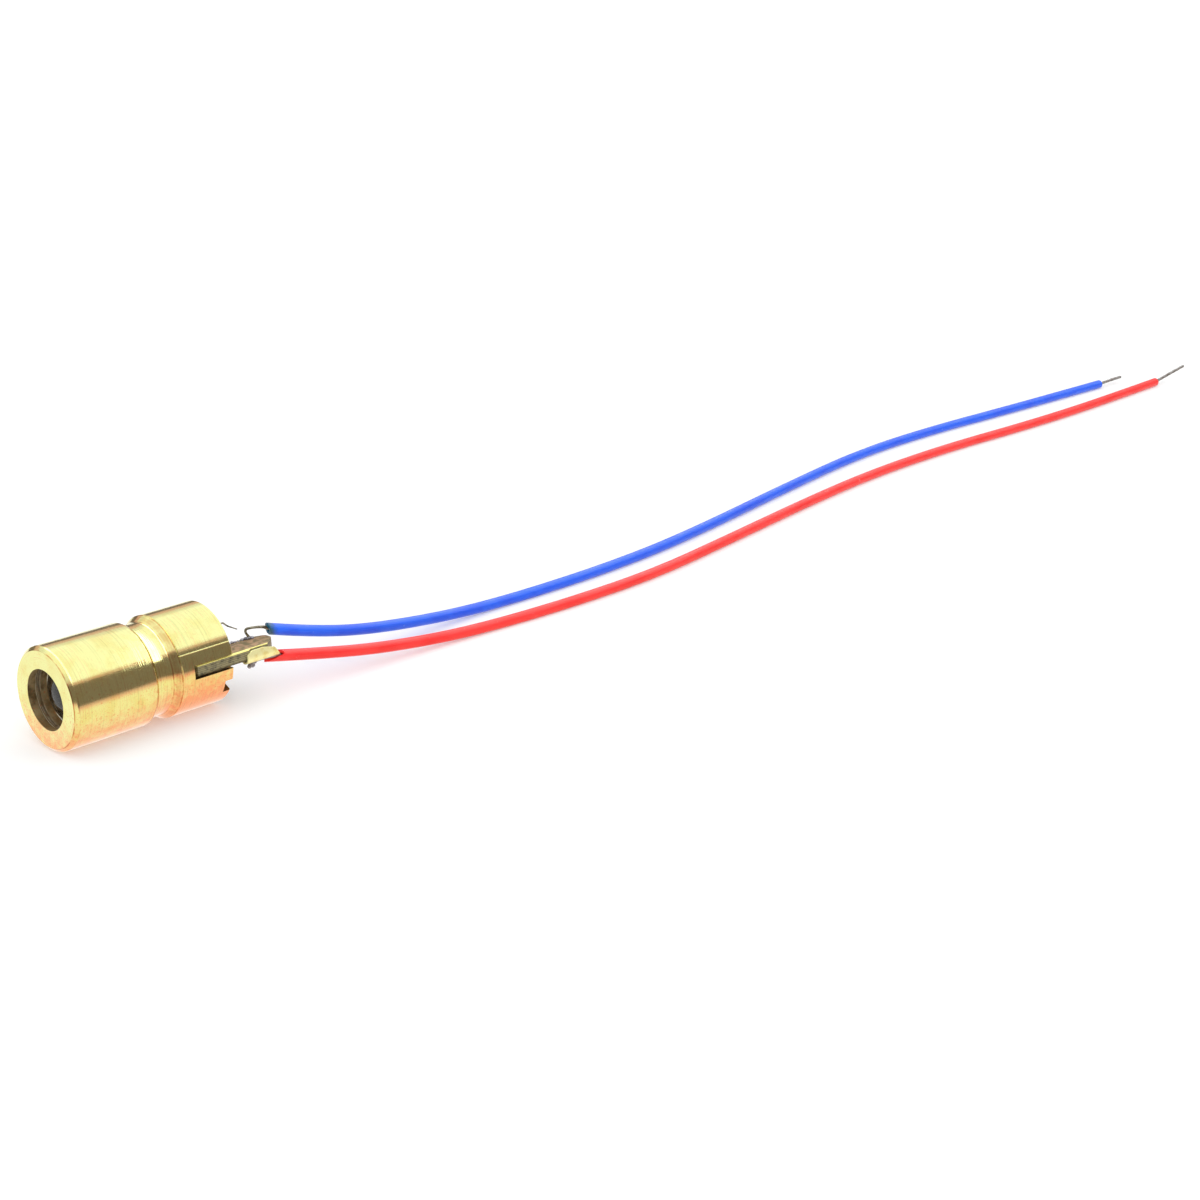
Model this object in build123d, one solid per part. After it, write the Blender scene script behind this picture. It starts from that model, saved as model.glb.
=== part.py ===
from build123d import *
import os
from math import tan, pi, radians

# A small laser head: a turned brass barrel with its lens, the slotted-in circuit board and two leads.
# The barrel's axis is X, the beam leaves along -X and the leads run towards +X.
# The origin is on the axis, midway along the barrel. Z is up, and everything lies on z = -barrel_radius.
# Lengths are in millimetres and angles in degrees. "Depth" is measured rearwards from the front face,
# and "reach" rearwards from the rear face.

# Barrel, outside
barrel_diameter = 6.0
barrel_length = 10.4
front_chamfer = 0.22
front_section_length = 5.25
section_chamfer = 0.12
groove_floor_length = 1.13
groove_depth = 0.3
groove_ramp_length = 0.4
rear_chamfer = 0.08

# Barrel, inside
barrel_wall = 0.7
lip_width = 1.25
lip_length = 0.45
chamber_undercut = 0.17
lens_seat_depth = 2.1

# Slots for the board and the notch in the rear rim
board_roll = 4.0
slot_length = 2.66
slot_width = 0.8
notch_roll = -25.5
notch_width = 0.85
notch_depth = 0.55

# Lens and the ring that holds it
lens_clearance = 0.03
lens_flange_length = 0.7
lens_dome_inset = 0.57
lens_dome_height = 0.75
lens_back_inset = 0.82
lens_back_bulge = 0.18
retainer_length = 0.6
retainer_wall = 0.62

# Circuit board, laid flat before it is rolled with its slots
board_core = 0.5
copper_thickness = 0.05
board_nose_clearance = 0.35
board_shoulder_gap = 0.3
board_edge_inset = 0.15
board_overhang = 0.9
tail_length = 2.6
tail_far_edge = 0.8
tail_far_slant = 0.1
tail_jog_overhang = 1.2
tail_jog_run = 0.2
tail_jog_step = 0.15
tail_corner_reach = 0.9
tail_end_near = 1.9
tail_end_far = 1.3
tail_round = 0.3
nose_pad_inset = 0.2
nose_pad_edge_inset = 0.25
nose_pad_width = 1.8
copper_gap = 0.54

# Laser die on its heat sink
focus_gap = 0.5
sink_ledge = 0.9
sink_length = 2.0
sink_width = 2.0
sink_bar_height = 0.6
sink_joint_gap = 0.05
die_length = 0.3
die_width = 0.24
die_height = 0.1
die_setback = 0.02
bond_wire_diameter = 0.05
bond_reach = 0.45
bond_offset = -0.4
bond_rise = 0.35

# Series resistor
resistor_length = 1.6
resistor_width = 0.8
resistor_height = 0.45
resistor_cap_length = 0.3
resistor_offset = -1.0

# Solder between board and bore
seam_length = 1.5
seam_setback = 0.25
seam_foot = 0.55
seam_rise = 0.5

# Brass contact leaf under the tail, with the red lead soldered below it
leaf_sheet = 0.1
leaf_outer_radius = 0.37
leaf_wall_top = 0.23
leaf_drop = 0.58
leaf_overhang = 1.0
leaf_length = 2.32
leaf_flange = 0.7
leaf_front_slant = 0.36
leaf_front_rise = 0.23
leaf_rear_slant = 1.14
leaf_rear_corner = 0.39
leaf_rear_rise = 0.54
leaf_tip_rise = 0.09

# Insulated leads
wire_diameter = 0.7
lead_strand_diameter = 0.16
red_core_diameter = 0.2
tip_core_diameter = 0.24
arc_reach_share = 0.45

# Routes of the leads. Each point is reach, y and height above the surface that the object lies on.
blue_route = [
    (3.9, -1.05, 3.60),
    (7.6, -1.15, 2.42),
    (12.6, -0.95, 1.32),
    (20.1, -0.60, 0.35),
    (28.6, -0.97, 0.35),
    (36.6, -0.60, 0.35),
    (44.1, 0.50, 0.35),
    (54.6, 2.45, 0.35),
    (65.6, 4.25, 0.35),
    (75.1, 4.40, 0.35),
    (86.8, 3.57, 0.35),
    (97.9, 3.05, 0.35),
]
red_route = [
    (3.9, -2.24, 2.27),
    (7.8, -2.62, 1.48),
    (12.2, -2.90, 0.80),
    (17.6, -3.33, 0.35),
    (25.1, -3.98, 0.35),
    (33.6, -3.95, 0.35),
    (42.6, -2.62, 0.35),
    (53.6, -0.88, 0.35),
    (62.6, 0.17, 0.35),
    (72.1, 0.35, 0.35),
    (82.1, -0.27, 0.35),
    (92.1, -0.40, 0.35),
    (102.0, -0.05, 0.35),
]
blue_tip_route = [
    (97.9, 3.05, 0.35),
    (99.5, 2.98, 0.42),
    (100.9, 2.80, 0.50),
]
red_tip_route = [
    (102.0, -0.05, 0.35),
    (103.6, 0.00, 0.55),
    (106.5, -0.08, 1.00),
]

# Bare front ends of the leads
hook_foot_inset = 0.1
hook_foot_gap = 0.03
hook_height = 0.6
hook_lean = 0.2
red_core_overhang = 1.1
red_core_gap = 0.01
red_core_drop = 0.09

# Stray strand that stands out of a solder seam
strand_diameter = 0.08
strand_setback = 0.7
strand_length = 2.35
strand_drift = 0.75
strand_height_share = 0.535
strand_foot_inset = 0.4
strand_foot_height = 0.32
strand_run_shares = [0, 0.55, 0.77, 1.0]
strand_rise_shares = [0, 1.0, 0.72, 0.48]
strand_drift_shares = [0, 0.9, 0.96, 1.0]

# Solder at the leads
blue_joint_radius = 0.34
blue_joint_height = 0.3
blue_joint_top_radius = 0.12
blue_bump_place_shares = [0.17, 0.35, 0.635]
blue_bump_size_shares = [0.62, 0.8, 1.0]
red_drop_overhang = 1.45
red_drop_radius = 0.27
red_drop_crown = 0.15
red_drop_shoulder = 0.32
red_drop_height = 0.47

overrun = 1.0

# Worked out from the sizes above
barrel_radius = barrel_diameter / 2
front_x = -barrel_length / 2
rear_x = barrel_length / 2
bore_radius = barrel_radius - barrel_wall
aperture_radius = barrel_radius - lip_width
groove_radius = barrel_radius - groove_depth
groove_start = front_section_length + section_chamfer
ramp_start = groove_start + groove_floor_length
rear_section_start = ramp_start + groove_ramp_length
slot_front_depth = barrel_length - slot_length
board_top = board_core / 2 + copper_thickness
board_wide_half = barrel_radius - board_edge_inset
board_nose_half = bore_radius - board_nose_clearance
lens_radius = bore_radius - lens_clearance
retainer_depth = lens_seat_depth + lens_flange_length
sink_front_depth = retainer_depth + retainer_length + focus_gap
board_nose_depth = sink_front_depth + sink_ledge
board_shoulder_depth = slot_front_depth + board_shoulder_gap
board_rear_depth = barrel_length + board_overhang
tail_end_depth = board_rear_depth + tail_length
nose_pad_end_depth = board_shoulder_depth - copper_gap
resistor_front_depth = board_shoulder_depth - (copper_gap + resistor_length) / 2
leaf_center_y = -(board_wide_half + leaf_sheet - leaf_outer_radius)
leaf_center_z = leaf_outer_radius - leaf_drop
leaf_front_depth = barrel_length + leaf_overhang


def along(depth):
    """X of a place that lies this far behind the front face."""
    return front_x + depth


def roll(shape):
    """Turn what was laid flat to the angle of the slots."""
    return Rot(X=-board_roll) * shape


def rolled_set(*shapes):
    """Several solids of one node, each turned to the angle of the slots."""
    return Compound(children=[roll(solid) for shape in shapes for solid in shape.solids()])


def behind(reach):
    """X of a place that lies this far behind the rear face."""
    return rear_x + reach


def turned(points):
    """Solid of revolution about the barrel's axis from (depth, radius) points."""
    outline = Polyline(*[(along(depth), radius) for depth, radius in points], close=True)
    return revolve(make_face(outline), Axis.X)


def flat_block(depth_from, depth_to, y_from, y_to, z_from, z_to):
    """Block between two depths, two widths and two heights."""
    middle = Pos(along((depth_from + depth_to) / 2), (y_from + y_to) / 2, (z_from + z_to) / 2)
    return middle * Box(depth_to - depth_from, y_to - y_from, z_to - z_from)


def bent_path(points, radii):
    """Straight runs joined by arcs."""
    return FilletPolyline(*[Vector(*point) for point in points], radius=radii)


def rod(path, diameter):
    """Round rod along a path, mitred where the path has a corner."""
    section = Plane(origin=path @ 0, z_dir=path % 0) * Circle(diameter / 2)
    return sweep(section, path=path, transition=Transition.RIGHT)


def arc_radii(points):
    """Largest arc that the two runs at each corner of a cord allow."""
    corners = [Vector(*point) for point in points]
    radii = []
    for before, corner, after in zip(corners, corners[1:], corners[2:]):
        shorter = min((corner - before).length, (after - corner).length)
        turn = (corner - before).get_angle(after - corner)
        radii.append(arc_reach_share * shorter / tan(radians(turn) / 2))
    return radii


def on_surface(route):
    """Points of a route whose heights are over the surface that the object lies on."""
    return [(behind(reach), y, height - barrel_radius) for reach, y, height in route]


def rolled_point(depth, y, z):
    """Place of a point that was laid flat, at the angle of the slots."""
    return Vector(along(depth), y, z).rotate(Axis.X, -board_roll)


def blue_bump(index):
    """Depth, y and foot radius of one of the solder bumps along the tail's inner edge."""
    foot = blue_joint_radius * blue_bump_size_shares[index]
    depth = board_rear_depth + blue_bump_place_shares[index] * tail_length
    return depth, -tail_far_edge - tail_far_slant - foot, foot


def barrel():
    chamber_radius = aperture_radius + chamber_undercut
    body = turned([
        (0, aperture_radius),
        (0, barrel_radius - front_chamfer),
        (front_chamfer, barrel_radius),
        (front_section_length, barrel_radius),
        (groove_start, barrel_radius - section_chamfer),
        (groove_start, groove_radius),
        (ramp_start, groove_radius),
        (rear_section_start, barrel_radius),
        (barrel_length - rear_chamfer, barrel_radius),
        (barrel_length, barrel_radius - rear_chamfer),
        (barrel_length, bore_radius),
        (lens_seat_depth, bore_radius),
        (lens_seat_depth, chamber_radius),
        (lip_length, chamber_radius),
        (lip_length, aperture_radius),
    ])
    slots = flat_block(
        slot_front_depth, barrel_length + overrun,
        -barrel_radius - overrun, barrel_radius + overrun,
        -slot_width / 2, slot_width / 2,
    )
    notch = flat_block(
        barrel_length - notch_depth, barrel_length + overrun,
        -barrel_radius - overrun, -bore_radius / 2,
        -notch_width / 2, notch_width / 2,
    )
    return body - roll(slots) - Rot(X=-notch_roll) * notch


def sphere_radius(foot_radius, height):
    """Radius of the sphere whose cap has this foot and height."""
    return (foot_radius ** 2 + height ** 2) / (2 * height)


def collimating_lens():
    """Moulded lens: a dome to the front, a flange on the seat and a shallow bulge behind."""
    dome_radius = lens_radius - lens_dome_inset
    back_radius = lens_radius - lens_back_inset
    apex = (along(lens_seat_depth - lens_dome_height), 0)
    dome_foot = (along(lens_seat_depth), dome_radius)
    front_rim = (along(lens_seat_depth), lens_radius)
    back_rim = (along(retainer_depth), lens_radius)
    back_foot = (along(retainer_depth), back_radius)
    back_apex = (along(retainer_depth + lens_back_bulge), 0)
    edges = Curve() + [
        RadiusArc(apex, dome_foot, sphere_radius(dome_radius, lens_dome_height)),
        Polyline(dome_foot, front_rim, back_rim, back_foot),
        RadiusArc(back_foot, back_apex, sphere_radius(back_radius, lens_back_bulge)),
        Line(back_apex, apex),
    ]
    return revolve(make_face(edges), Axis.X)


def lens_retainer():
    return turned([
        (retainer_depth, lens_radius - retainer_wall),
        (retainer_depth, lens_radius),
        (retainer_depth + retainer_length, lens_radius),
        (retainer_depth + retainer_length, lens_radius - retainer_wall),
    ])


def board_outline():
    """Outline of the board: a nose in the bore, wings in the slots and a tail on the near side."""
    jog_depth = barrel_length + tail_jog_overhang
    near = -board_wide_half
    stepped = near + tail_jog_step
    corner_depth = tail_end_depth - tail_corner_reach
    outline = Polyline(
        (along(board_nose_depth), -board_nose_half),
        (along(board_shoulder_depth), -board_nose_half),
        (along(board_shoulder_depth), near),
        (along(jog_depth), near),
        (along(jog_depth + tail_jog_run), stepped),
        (along(corner_depth), stepped),
        (along(tail_end_depth), -tail_end_near),
        (along(tail_end_depth), -tail_end_far),
        (along(corner_depth), -tail_far_edge - tail_far_slant),
        (along(board_rear_depth), -tail_far_edge),
        (along(board_rear_depth), board_wide_half),
        (along(board_shoulder_depth), board_wide_half),
        (along(board_shoulder_depth), board_nose_half),
        (along(board_nose_depth), board_nose_half),
        close=True,
    )
    face = make_face(outline)
    tip = face.vertices().group_by(Axis.X)[-1]
    return fillet(tip, tail_round)


def circuit_board():
    core = extrude(board_outline(), board_core / 2, both=True)
    return roll(core)


def near_strip():
    """The strip of the board's outline that carries copper from the slots to the tail's end."""
    window = flat_block(
        board_shoulder_depth, tail_end_depth + overrun,
        -board_wide_half - overrun, -tail_far_edge,
        -board_core, board_core,
    )
    return extrude(board_outline(), copper_thickness, dir=(0, 0, 1)) & window


def top_copper():
    strip = Pos(Z=board_core / 2) * near_strip()
    pad_near_edge = -board_nose_half + nose_pad_edge_inset
    nose_pad = flat_block(
        board_nose_depth + nose_pad_inset, nose_pad_end_depth,
        pad_near_edge, pad_near_edge + nose_pad_width,
        board_core / 2, board_top,
    )
    return rolled_set(strip, nose_pad)


def bottom_copper():
    strip = Pos(Z=-board_top) * near_strip()
    return roll(strip)


def heat_sink():
    """Copper bar under the board's nose, with a ledge in front of it that carries the die."""
    ledge_top = -die_height / 2
    bar_top = -board_top
    foot = bar_top - sink_bar_height
    step_depth = board_nose_depth - sink_joint_gap
    profile = Polyline(
        (along(sink_front_depth), foot),
        (along(sink_front_depth + sink_length), foot),
        (along(sink_front_depth + sink_length), bar_top + copper_thickness),
        (along(step_depth), bar_top + copper_thickness),
        (along(step_depth), ledge_top),
        (along(sink_front_depth), ledge_top),
        close=True,
    )
    face = Plane.XZ * make_face(profile)
    return roll(extrude(face, sink_width / 2, both=True))


def laser_die():
    front = sink_front_depth + die_setback
    return roll(flat_block(
        front, front + die_length,
        -die_width / 2, die_width / 2,
        -die_height / 2, die_height / 2,
    ))


def bond_wire():
    """Fine wire that rises from the die and comes down on the board's nose pad."""
    start = Vector(along(sink_front_depth + die_setback + die_length / 2), 0, die_height / 2)
    end = Vector(along(board_nose_depth + bond_reach), bond_offset, board_top)
    crest = (start + end) / 2 + Vector(0, 0, bond_rise)
    wire = rod(Polyline(start, crest, end), bond_wire_diameter)
    above_die = flat_block(
        sink_front_depth, board_nose_depth + bond_reach + overrun,
        -overrun, overrun,
        die_height / 2, board_top + overrun,
    )
    under_pad = flat_block(
        board_nose_depth, board_nose_depth + bond_reach + overrun,
        -overrun, overrun,
        -overrun, board_top,
    )
    return roll(wire & above_die - under_pad)


def resistor_body():
    return roll(flat_block(
        resistor_front_depth + resistor_cap_length,
        resistor_front_depth + resistor_length - resistor_cap_length,
        resistor_offset - resistor_width / 2, resistor_offset + resistor_width / 2,
        board_top, board_top + resistor_height,
    ))


def resistor_caps():
    """The two plated ends, each soldered to its own copper."""
    rear_start = resistor_length - resistor_cap_length
    caps = []
    for start in (0, rear_start):
        caps.append(flat_block(
            resistor_front_depth + start, resistor_front_depth + start + resistor_cap_length,
            resistor_offset - resistor_width / 2, resistor_offset + resistor_width / 2,
            board_top, board_top + resistor_height,
        ))
    return rolled_set(*caps)


def barrel_solder():
    """Two seams that join the board's upper side to the bore, one beside each slot."""
    front = barrel_length - seam_setback - seam_length
    bore = Rot(Y=90) * Cylinder(bore_radius, seam_length + overrun)
    bore = Pos(X=along(front + seam_length / 2)) * bore
    seams = []
    for side in (-1, 1):
        wedge = Polyline(
            (side * (bore_radius - seam_foot), board_top),
            (side * (bore_radius + seam_rise), board_top),
            (side * (bore_radius + seam_rise), board_top + seam_foot + seam_rise),
            close=True,
        )
        face = Plane(origin=(along(front), 0, 0), x_dir=(0, 1, 0), z_dir=(1, 0, 0)) * make_face(wedge)
        seams.append(extrude(face, seam_length) & bore)
    return rolled_set(*seams)


def contact_leaf():
    """Brass sheet bent to a trough: its near wall stands beside the tail, its flange lies on the board's underside."""
    inner = leaf_outer_radius - leaf_sheet
    under = -board_top
    wall_face = leaf_center_y - leaf_outer_radius
    ring = Pos(leaf_center_y, leaf_center_z) * (Circle(leaf_outer_radius) - Circle(inner))
    upper_half = Pos(leaf_center_y, leaf_center_z + leaf_outer_radius) * Rectangle(
        2 * leaf_outer_radius, 2 * leaf_outer_radius)
    board_room = Pos(wall_face + leaf_sheet + board_wide_half / 2, under + board_core) * Rectangle(
        board_wide_half, 2 * board_core)
    wall = Pos(wall_face + leaf_sheet / 2, (leaf_center_z + leaf_wall_top) / 2) * Rectangle(
        leaf_sheet, leaf_wall_top - leaf_center_z)
    flange = Pos(leaf_center_y + inner + leaf_flange / 2, under - leaf_sheet / 2) * Rectangle(leaf_flange, leaf_sheet)
    section = ring - upper_half - board_room + wall + flange
    plane = Plane(origin=(along(leaf_front_depth), 0, 0), x_dir=(0, 1, 0), z_dir=(1, 0, 0))
    body = extrude(plane * section, leaf_length)
    rear = leaf_front_depth + leaf_length
    front_corner = Polyline(
        (along(leaf_front_depth), leaf_wall_top - leaf_front_rise),
        (along(leaf_front_depth + leaf_front_slant), leaf_wall_top),
        (along(leaf_front_depth + leaf_front_slant), leaf_wall_top + overrun),
        (along(leaf_front_depth - overrun), leaf_wall_top + overrun),
        (along(leaf_front_depth - overrun), leaf_wall_top - leaf_front_rise),
        close=True,
    )
    rear_corner = Polyline(
        (along(rear - leaf_rear_slant), leaf_wall_top),
        (along(rear - leaf_rear_corner), leaf_tip_rise + leaf_rear_rise - leaf_drop),
        (along(rear), leaf_tip_rise - leaf_drop),
        (along(rear + overrun), leaf_tip_rise - leaf_drop),
        (along(rear + overrun), leaf_wall_top + overrun),
        (along(rear - leaf_rear_slant), leaf_wall_top + overrun),
        close=True,
    )
    for corner in (front_corner, rear_corner):
        body -= extrude(Plane.XZ * make_face(corner), barrel_radius, both=True)
    return roll(body)


def blue_solder(lead):
    """Solder along the tail's inner edge, highest where the blue lead stands in it."""
    lumps = []
    for index, share in enumerate(blue_bump_size_shares):
        depth, y, foot = blue_bump(index)
        crown = blue_joint_top_radius * share
        height = blue_joint_height * share
        profile = Polyline(
            (0, 0),
            (foot, 0),
            (crown, height),
            (0, height),
            close=True,
        )
        lumps.append(Pos(along(depth), y, board_top) * revolve(Plane.XZ * make_face(profile), Axis.Z))
    return roll(lumps[0].fuse(*lumps[1:])) - lead


def red_solder(lead):
    """Drop of solder that hangs under the contact leaf and wraps the red lead."""
    center_depth = barrel_length + red_drop_overhang
    profile = Polyline(
        (0, 0),
        (red_drop_radius, 0),
        (red_drop_radius, -red_drop_shoulder),
        (red_drop_crown, -red_drop_height),
        (0, -red_drop_height),
        close=True,
    )
    top = leaf_center_z - leaf_outer_radius + leaf_sheet
    drop = Pos(along(center_depth), leaf_center_y, top) * revolve(Plane.XZ * make_face(profile), Axis.Z)
    outside = Pos(along(center_depth), leaf_center_y, leaf_center_z) * (
        Rot(Y=90) * Cylinder(leaf_outer_radius, 2 * red_drop_radius + overrun))
    return roll(drop - outside) - lead


def blue_lead(wire):
    """Bare strand that hooks down from the blue wire onto the tail."""
    depth, y, radius = blue_bump(-1)
    foot = rolled_point(depth, y + hook_foot_inset, board_top + hook_foot_gap)
    top = foot + Vector(-hook_lean, 0, hook_height)
    start = Vector(*on_surface(blue_route)[0])
    return rod(Polyline(foot, top, start), lead_strand_diameter) - wire


def red_lead(wire):
    """Bare core that runs forward from the red wire, under the contact leaf."""
    under_leaf = leaf_center_z - leaf_outer_radius - red_core_gap - red_core_diameter / 2
    front = rolled_point(barrel_length + red_core_overhang, leaf_center_y, under_leaf)
    rear = Vector(*on_surface(red_route)[0]) - Vector(0, 0, red_core_drop)
    return rod(Line(front, rear), red_core_diameter) - wire


def loose_strand(seams):
    """Stray strand that rises from the near solder seam and points out of the barrel."""
    foot = Vector(
        along(barrel_length - strand_setback),
        -(bore_radius - strand_foot_inset),
        board_top + strand_foot_height,
    )
    height = strand_height_share * bore_radius
    points = []
    for run, drift, rise in zip(strand_run_shares, strand_drift_shares, strand_rise_shares):
        points.append(foot + Vector(run * strand_length, drift * strand_drift, rise * height))
    return rod(Polyline(*points), strand_diameter) - seams


def insulated_wire(name, route):
    """One cord, with its arc radii printed and its volume set against section times length."""
    points = on_surface(route)
    radii = arc_radii(points)
    path = bent_path(points, radii)
    solid = rod(path, wire_diameter)
    expected = pi * (wire_diameter / 2) ** 2 * path.length
    print(name, "radii", [round(radius, 1) for radius in radii], "length", round(path.length, 2),
          "volume share", round(solid.volume / expected, 5))
    return solid


def tinned_tip(route, wire):
    points = on_surface(route)
    return rod(bent_path(points, arc_radii(points)), tip_core_diameter) - wire


def main():
    blue = insulated_wire("blue_wire", blue_route)
    red = insulated_wire("red_wire", red_route)
    hook = blue_lead(blue)
    core = red_lead(red)
    seams = barrel_solder()
    pieces = {
        "barrel": barrel(),
        "collimating_lens": collimating_lens(),
        "lens_retainer": lens_retainer(),
        "circuit_board": circuit_board(),
        "top_copper": top_copper(),
        "bottom_copper": bottom_copper(),
        "heat_sink": heat_sink(),
        "laser_die": laser_die(),
        "bond_wire": bond_wire(),
        "resistor_body": resistor_body(),
        "resistor_caps": resistor_caps(),
        "barrel_solder": seams,
        "contact_leaf": contact_leaf(),
        "blue_solder": blue_solder(hook),
        "red_solder": red_solder(core),
        "blue_lead": hook,
        "red_lead": core,
        "loose_strand": loose_strand(seams),
        "blue_wire": blue,
        "red_wire": red,
        "blue_wire_tip": tinned_tip(blue_tip_route, blue),
        "red_wire_tip": tinned_tip(red_tip_route, red),
    }
    os.makedirs("parts", exist_ok=True)
    for name, shape in pieces.items():
        export_step(shape, "parts/" + name + ".step")
        print(name, len(shape.solids()), "solids", round(shape.volume, 4), "mm3")


main()
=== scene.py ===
"""Looks of a small laser head: a turned brass barrel, its lens, a soldered-in board and two insulated leads.

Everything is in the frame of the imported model: the barrel's axis is X, the beam leaves along -X, the leads
run towards +X, Z is up, and the origin is on the axis, midway along the barrel.
"""

from __future__ import annotations

import logging
import math
import random
from dataclasses import dataclass
from enum import Enum
from typing import Any, Callable, Iterable, Sequence

import bmesh
import bpy
from mathutils import Matrix, Vector


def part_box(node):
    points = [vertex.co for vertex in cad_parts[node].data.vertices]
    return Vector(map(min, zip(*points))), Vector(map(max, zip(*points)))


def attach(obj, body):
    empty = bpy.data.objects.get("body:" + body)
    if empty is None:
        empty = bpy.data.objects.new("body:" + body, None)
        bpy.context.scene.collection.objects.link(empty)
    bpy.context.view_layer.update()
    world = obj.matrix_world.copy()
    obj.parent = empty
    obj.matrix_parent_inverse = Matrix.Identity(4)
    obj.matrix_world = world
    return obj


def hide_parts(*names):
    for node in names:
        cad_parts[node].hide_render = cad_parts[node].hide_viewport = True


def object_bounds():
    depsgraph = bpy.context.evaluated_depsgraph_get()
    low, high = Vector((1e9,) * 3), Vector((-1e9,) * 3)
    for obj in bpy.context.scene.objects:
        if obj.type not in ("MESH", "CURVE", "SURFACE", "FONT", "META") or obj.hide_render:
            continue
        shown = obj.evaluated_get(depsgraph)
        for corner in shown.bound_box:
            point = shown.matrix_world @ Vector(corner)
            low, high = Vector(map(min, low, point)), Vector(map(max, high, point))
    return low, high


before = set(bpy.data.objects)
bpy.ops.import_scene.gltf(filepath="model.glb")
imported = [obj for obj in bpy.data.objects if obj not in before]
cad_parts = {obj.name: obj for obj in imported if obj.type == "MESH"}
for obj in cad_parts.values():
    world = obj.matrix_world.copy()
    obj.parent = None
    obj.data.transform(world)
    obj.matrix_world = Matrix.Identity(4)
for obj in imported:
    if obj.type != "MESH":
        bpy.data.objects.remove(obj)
CAD_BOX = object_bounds()

LOG = logging.getLogger("laser_head")

MM = 0.001
BODY = "root"
REACH = "reach_mm"
PHOTO_SIDE_PX = 1200
PHOTO_FOCAL_PX = 2249.584
SENSOR_MM = 36.0

Point = tuple[float, float, float]
Drop = tuple[float, float, float, float]
Corner = tuple[float, float, float, float]
Pair = tuple[float, float]
Colour = tuple[float, float, float, float]
WorkMesh = bmesh.types.BMesh
Piece = bpy.types.Object
Material = bpy.types.Material
Tree = bpy.types.NodeTree
Node = bpy.types.Node
Socket = bpy.types.NodeSocket


# Small helpers for colours, nodes and meshes


def linear(code: str) -> Colour:
    """Turn an sRGB hex colour into Blender's linear colour.

    Args:
        code: Six hex digits, such as "F3D289".

    Returns:
        Linear red, green and blue, with an alpha of one.
    """
    channels = [int(code[i:i + 2], 16) / 255 for i in (0, 2, 4)]
    red, green, blue = (c / 12.92 if c <= 0.04045 else ((c + 0.055) / 1.055) ** 2.4 for c in channels)
    return red, green, blue, 1.0


def between(steps: Sequence[Pair], place: float) -> float:
    """Read a value off a line of straight spans.

    Args:
        steps: Places in rising order, each with its value.
        place: The place to read at.

    Returns:
        The value there, or the last one beyond the steps.
    """
    for (a, low), (b, high) in zip(steps, steps[1:]):
        if a <= place <= b:
            return low + (high - low) * (place - a) / (b - a)
    return steps[-1][1]


def eased(values: Sequence[float], reach: int) -> list[float]:
    """Average each value with its neighbours.

    Args:
        values: The values in order.
        reach: How many neighbours count on each side.

    Returns:
        The averages.
    """
    windows = [values[max(0, i - reach):i + reach + 1] for i in range(len(values))]
    return [sum(window) / len(window) for window in windows]


def add_node(tree: Tree, kind: str, inputs: dict | None = None, **settings: Any) -> Node:
    """Add one node, make its settings, then fill or link its inputs.

    Args:
        tree: The node tree that takes the node.
        kind: The node's type name.
        inputs: Input name or index, with its value, a socket, or a node whose first output goes there.
        **settings: Properties of the node itself.

    Returns:
        The new node.
    """
    node = tree.nodes.new(kind)
    for name, value in settings.items():
        setattr(node, name, value)
    for key, value in (inputs or {}).items():
        given = value.outputs[0] if isinstance(value, Node) else value
        if isinstance(given, Socket):
            tree.links.new(given, node.inputs[key])
        else:
            node.inputs[key].default_value = given
    return node


def emptied(owner: Material | bpy.types.World) -> Tree:
    """Switch on an owner's nodes and clear them.

    Args:
        owner: The material or world.

    Returns:
        Its empty tree.
    """
    owner.use_nodes = True
    owner.node_tree.nodes.clear()
    return owner.node_tree


def linked(name: str, data: bpy.types.ID) -> Piece:
    """Put a new object into the scene.

    Args:
        name: The object's name.
        data: Its mesh, curve, lamp or camera.

    Returns:
        The object.
    """
    obj = bpy.data.objects.new(name, data)
    bpy.context.scene.collection.objects.link(obj)
    return obj


def stored(name: str, bm: WorkMesh) -> bpy.types.Mesh:
    """Store a work mesh as mesh data.

    Args:
        name: The data's name.
        bm: The work mesh. It is freed.

    Returns:
        The mesh data.
    """
    mesh = bpy.data.meshes.new(name)
    bm.to_mesh(mesh)
    bm.free()
    return mesh


def opened(obj: Piece, scale: float = 1.0) -> WorkMesh:
    """Read an object's mesh into a work mesh.

    Args:
        obj: A mesh object at the origin, which stays as it is.
        scale: How much larger the work mesh is.

    Returns:
        The work mesh.
    """
    bm = bmesh.new()
    bm.from_mesh(obj.data)
    bmesh.ops.transform(bm, matrix=Matrix.Scale(scale, 4), verts=bm.verts)
    return bm


def mesh_object(name: str, bm: WorkMesh, material: Material) -> Piece:
    """Make an object of a finished mesh that was worked on in millimetres.

    Args:
        name: The object's name.
        bm: The mesh, in millimetres. It is freed.
        material: The finish of every face.

    Returns:
        The object, in metres and at the origin.
    """
    bmesh.ops.transform(bm, matrix=Matrix.Scale(MM, 4), verts=bm.verts)
    for face in bm.faces:
        face.smooth = True
    mesh = stored(name, bm)
    mesh.materials.append(material)
    return linked(name, mesh)


def baked(obj: Piece) -> Piece:
    """Turn an object with live modifiers, or a curve, into a plain mesh object of the same name.

    Args:
        obj: The object, which is removed.

    Returns:
        The plain mesh object.
    """
    name = obj.name
    bpy.context.view_layer.update()
    graph = bpy.context.evaluated_depsgraph_get()
    final = obj.evaluated_get(graph)
    mesh = bpy.data.meshes.new_from_object(final, preserve_all_data_layers=True, depsgraph=graph)
    bpy.data.objects.remove(obj)
    mesh.name = name
    return linked(name, mesh)


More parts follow.
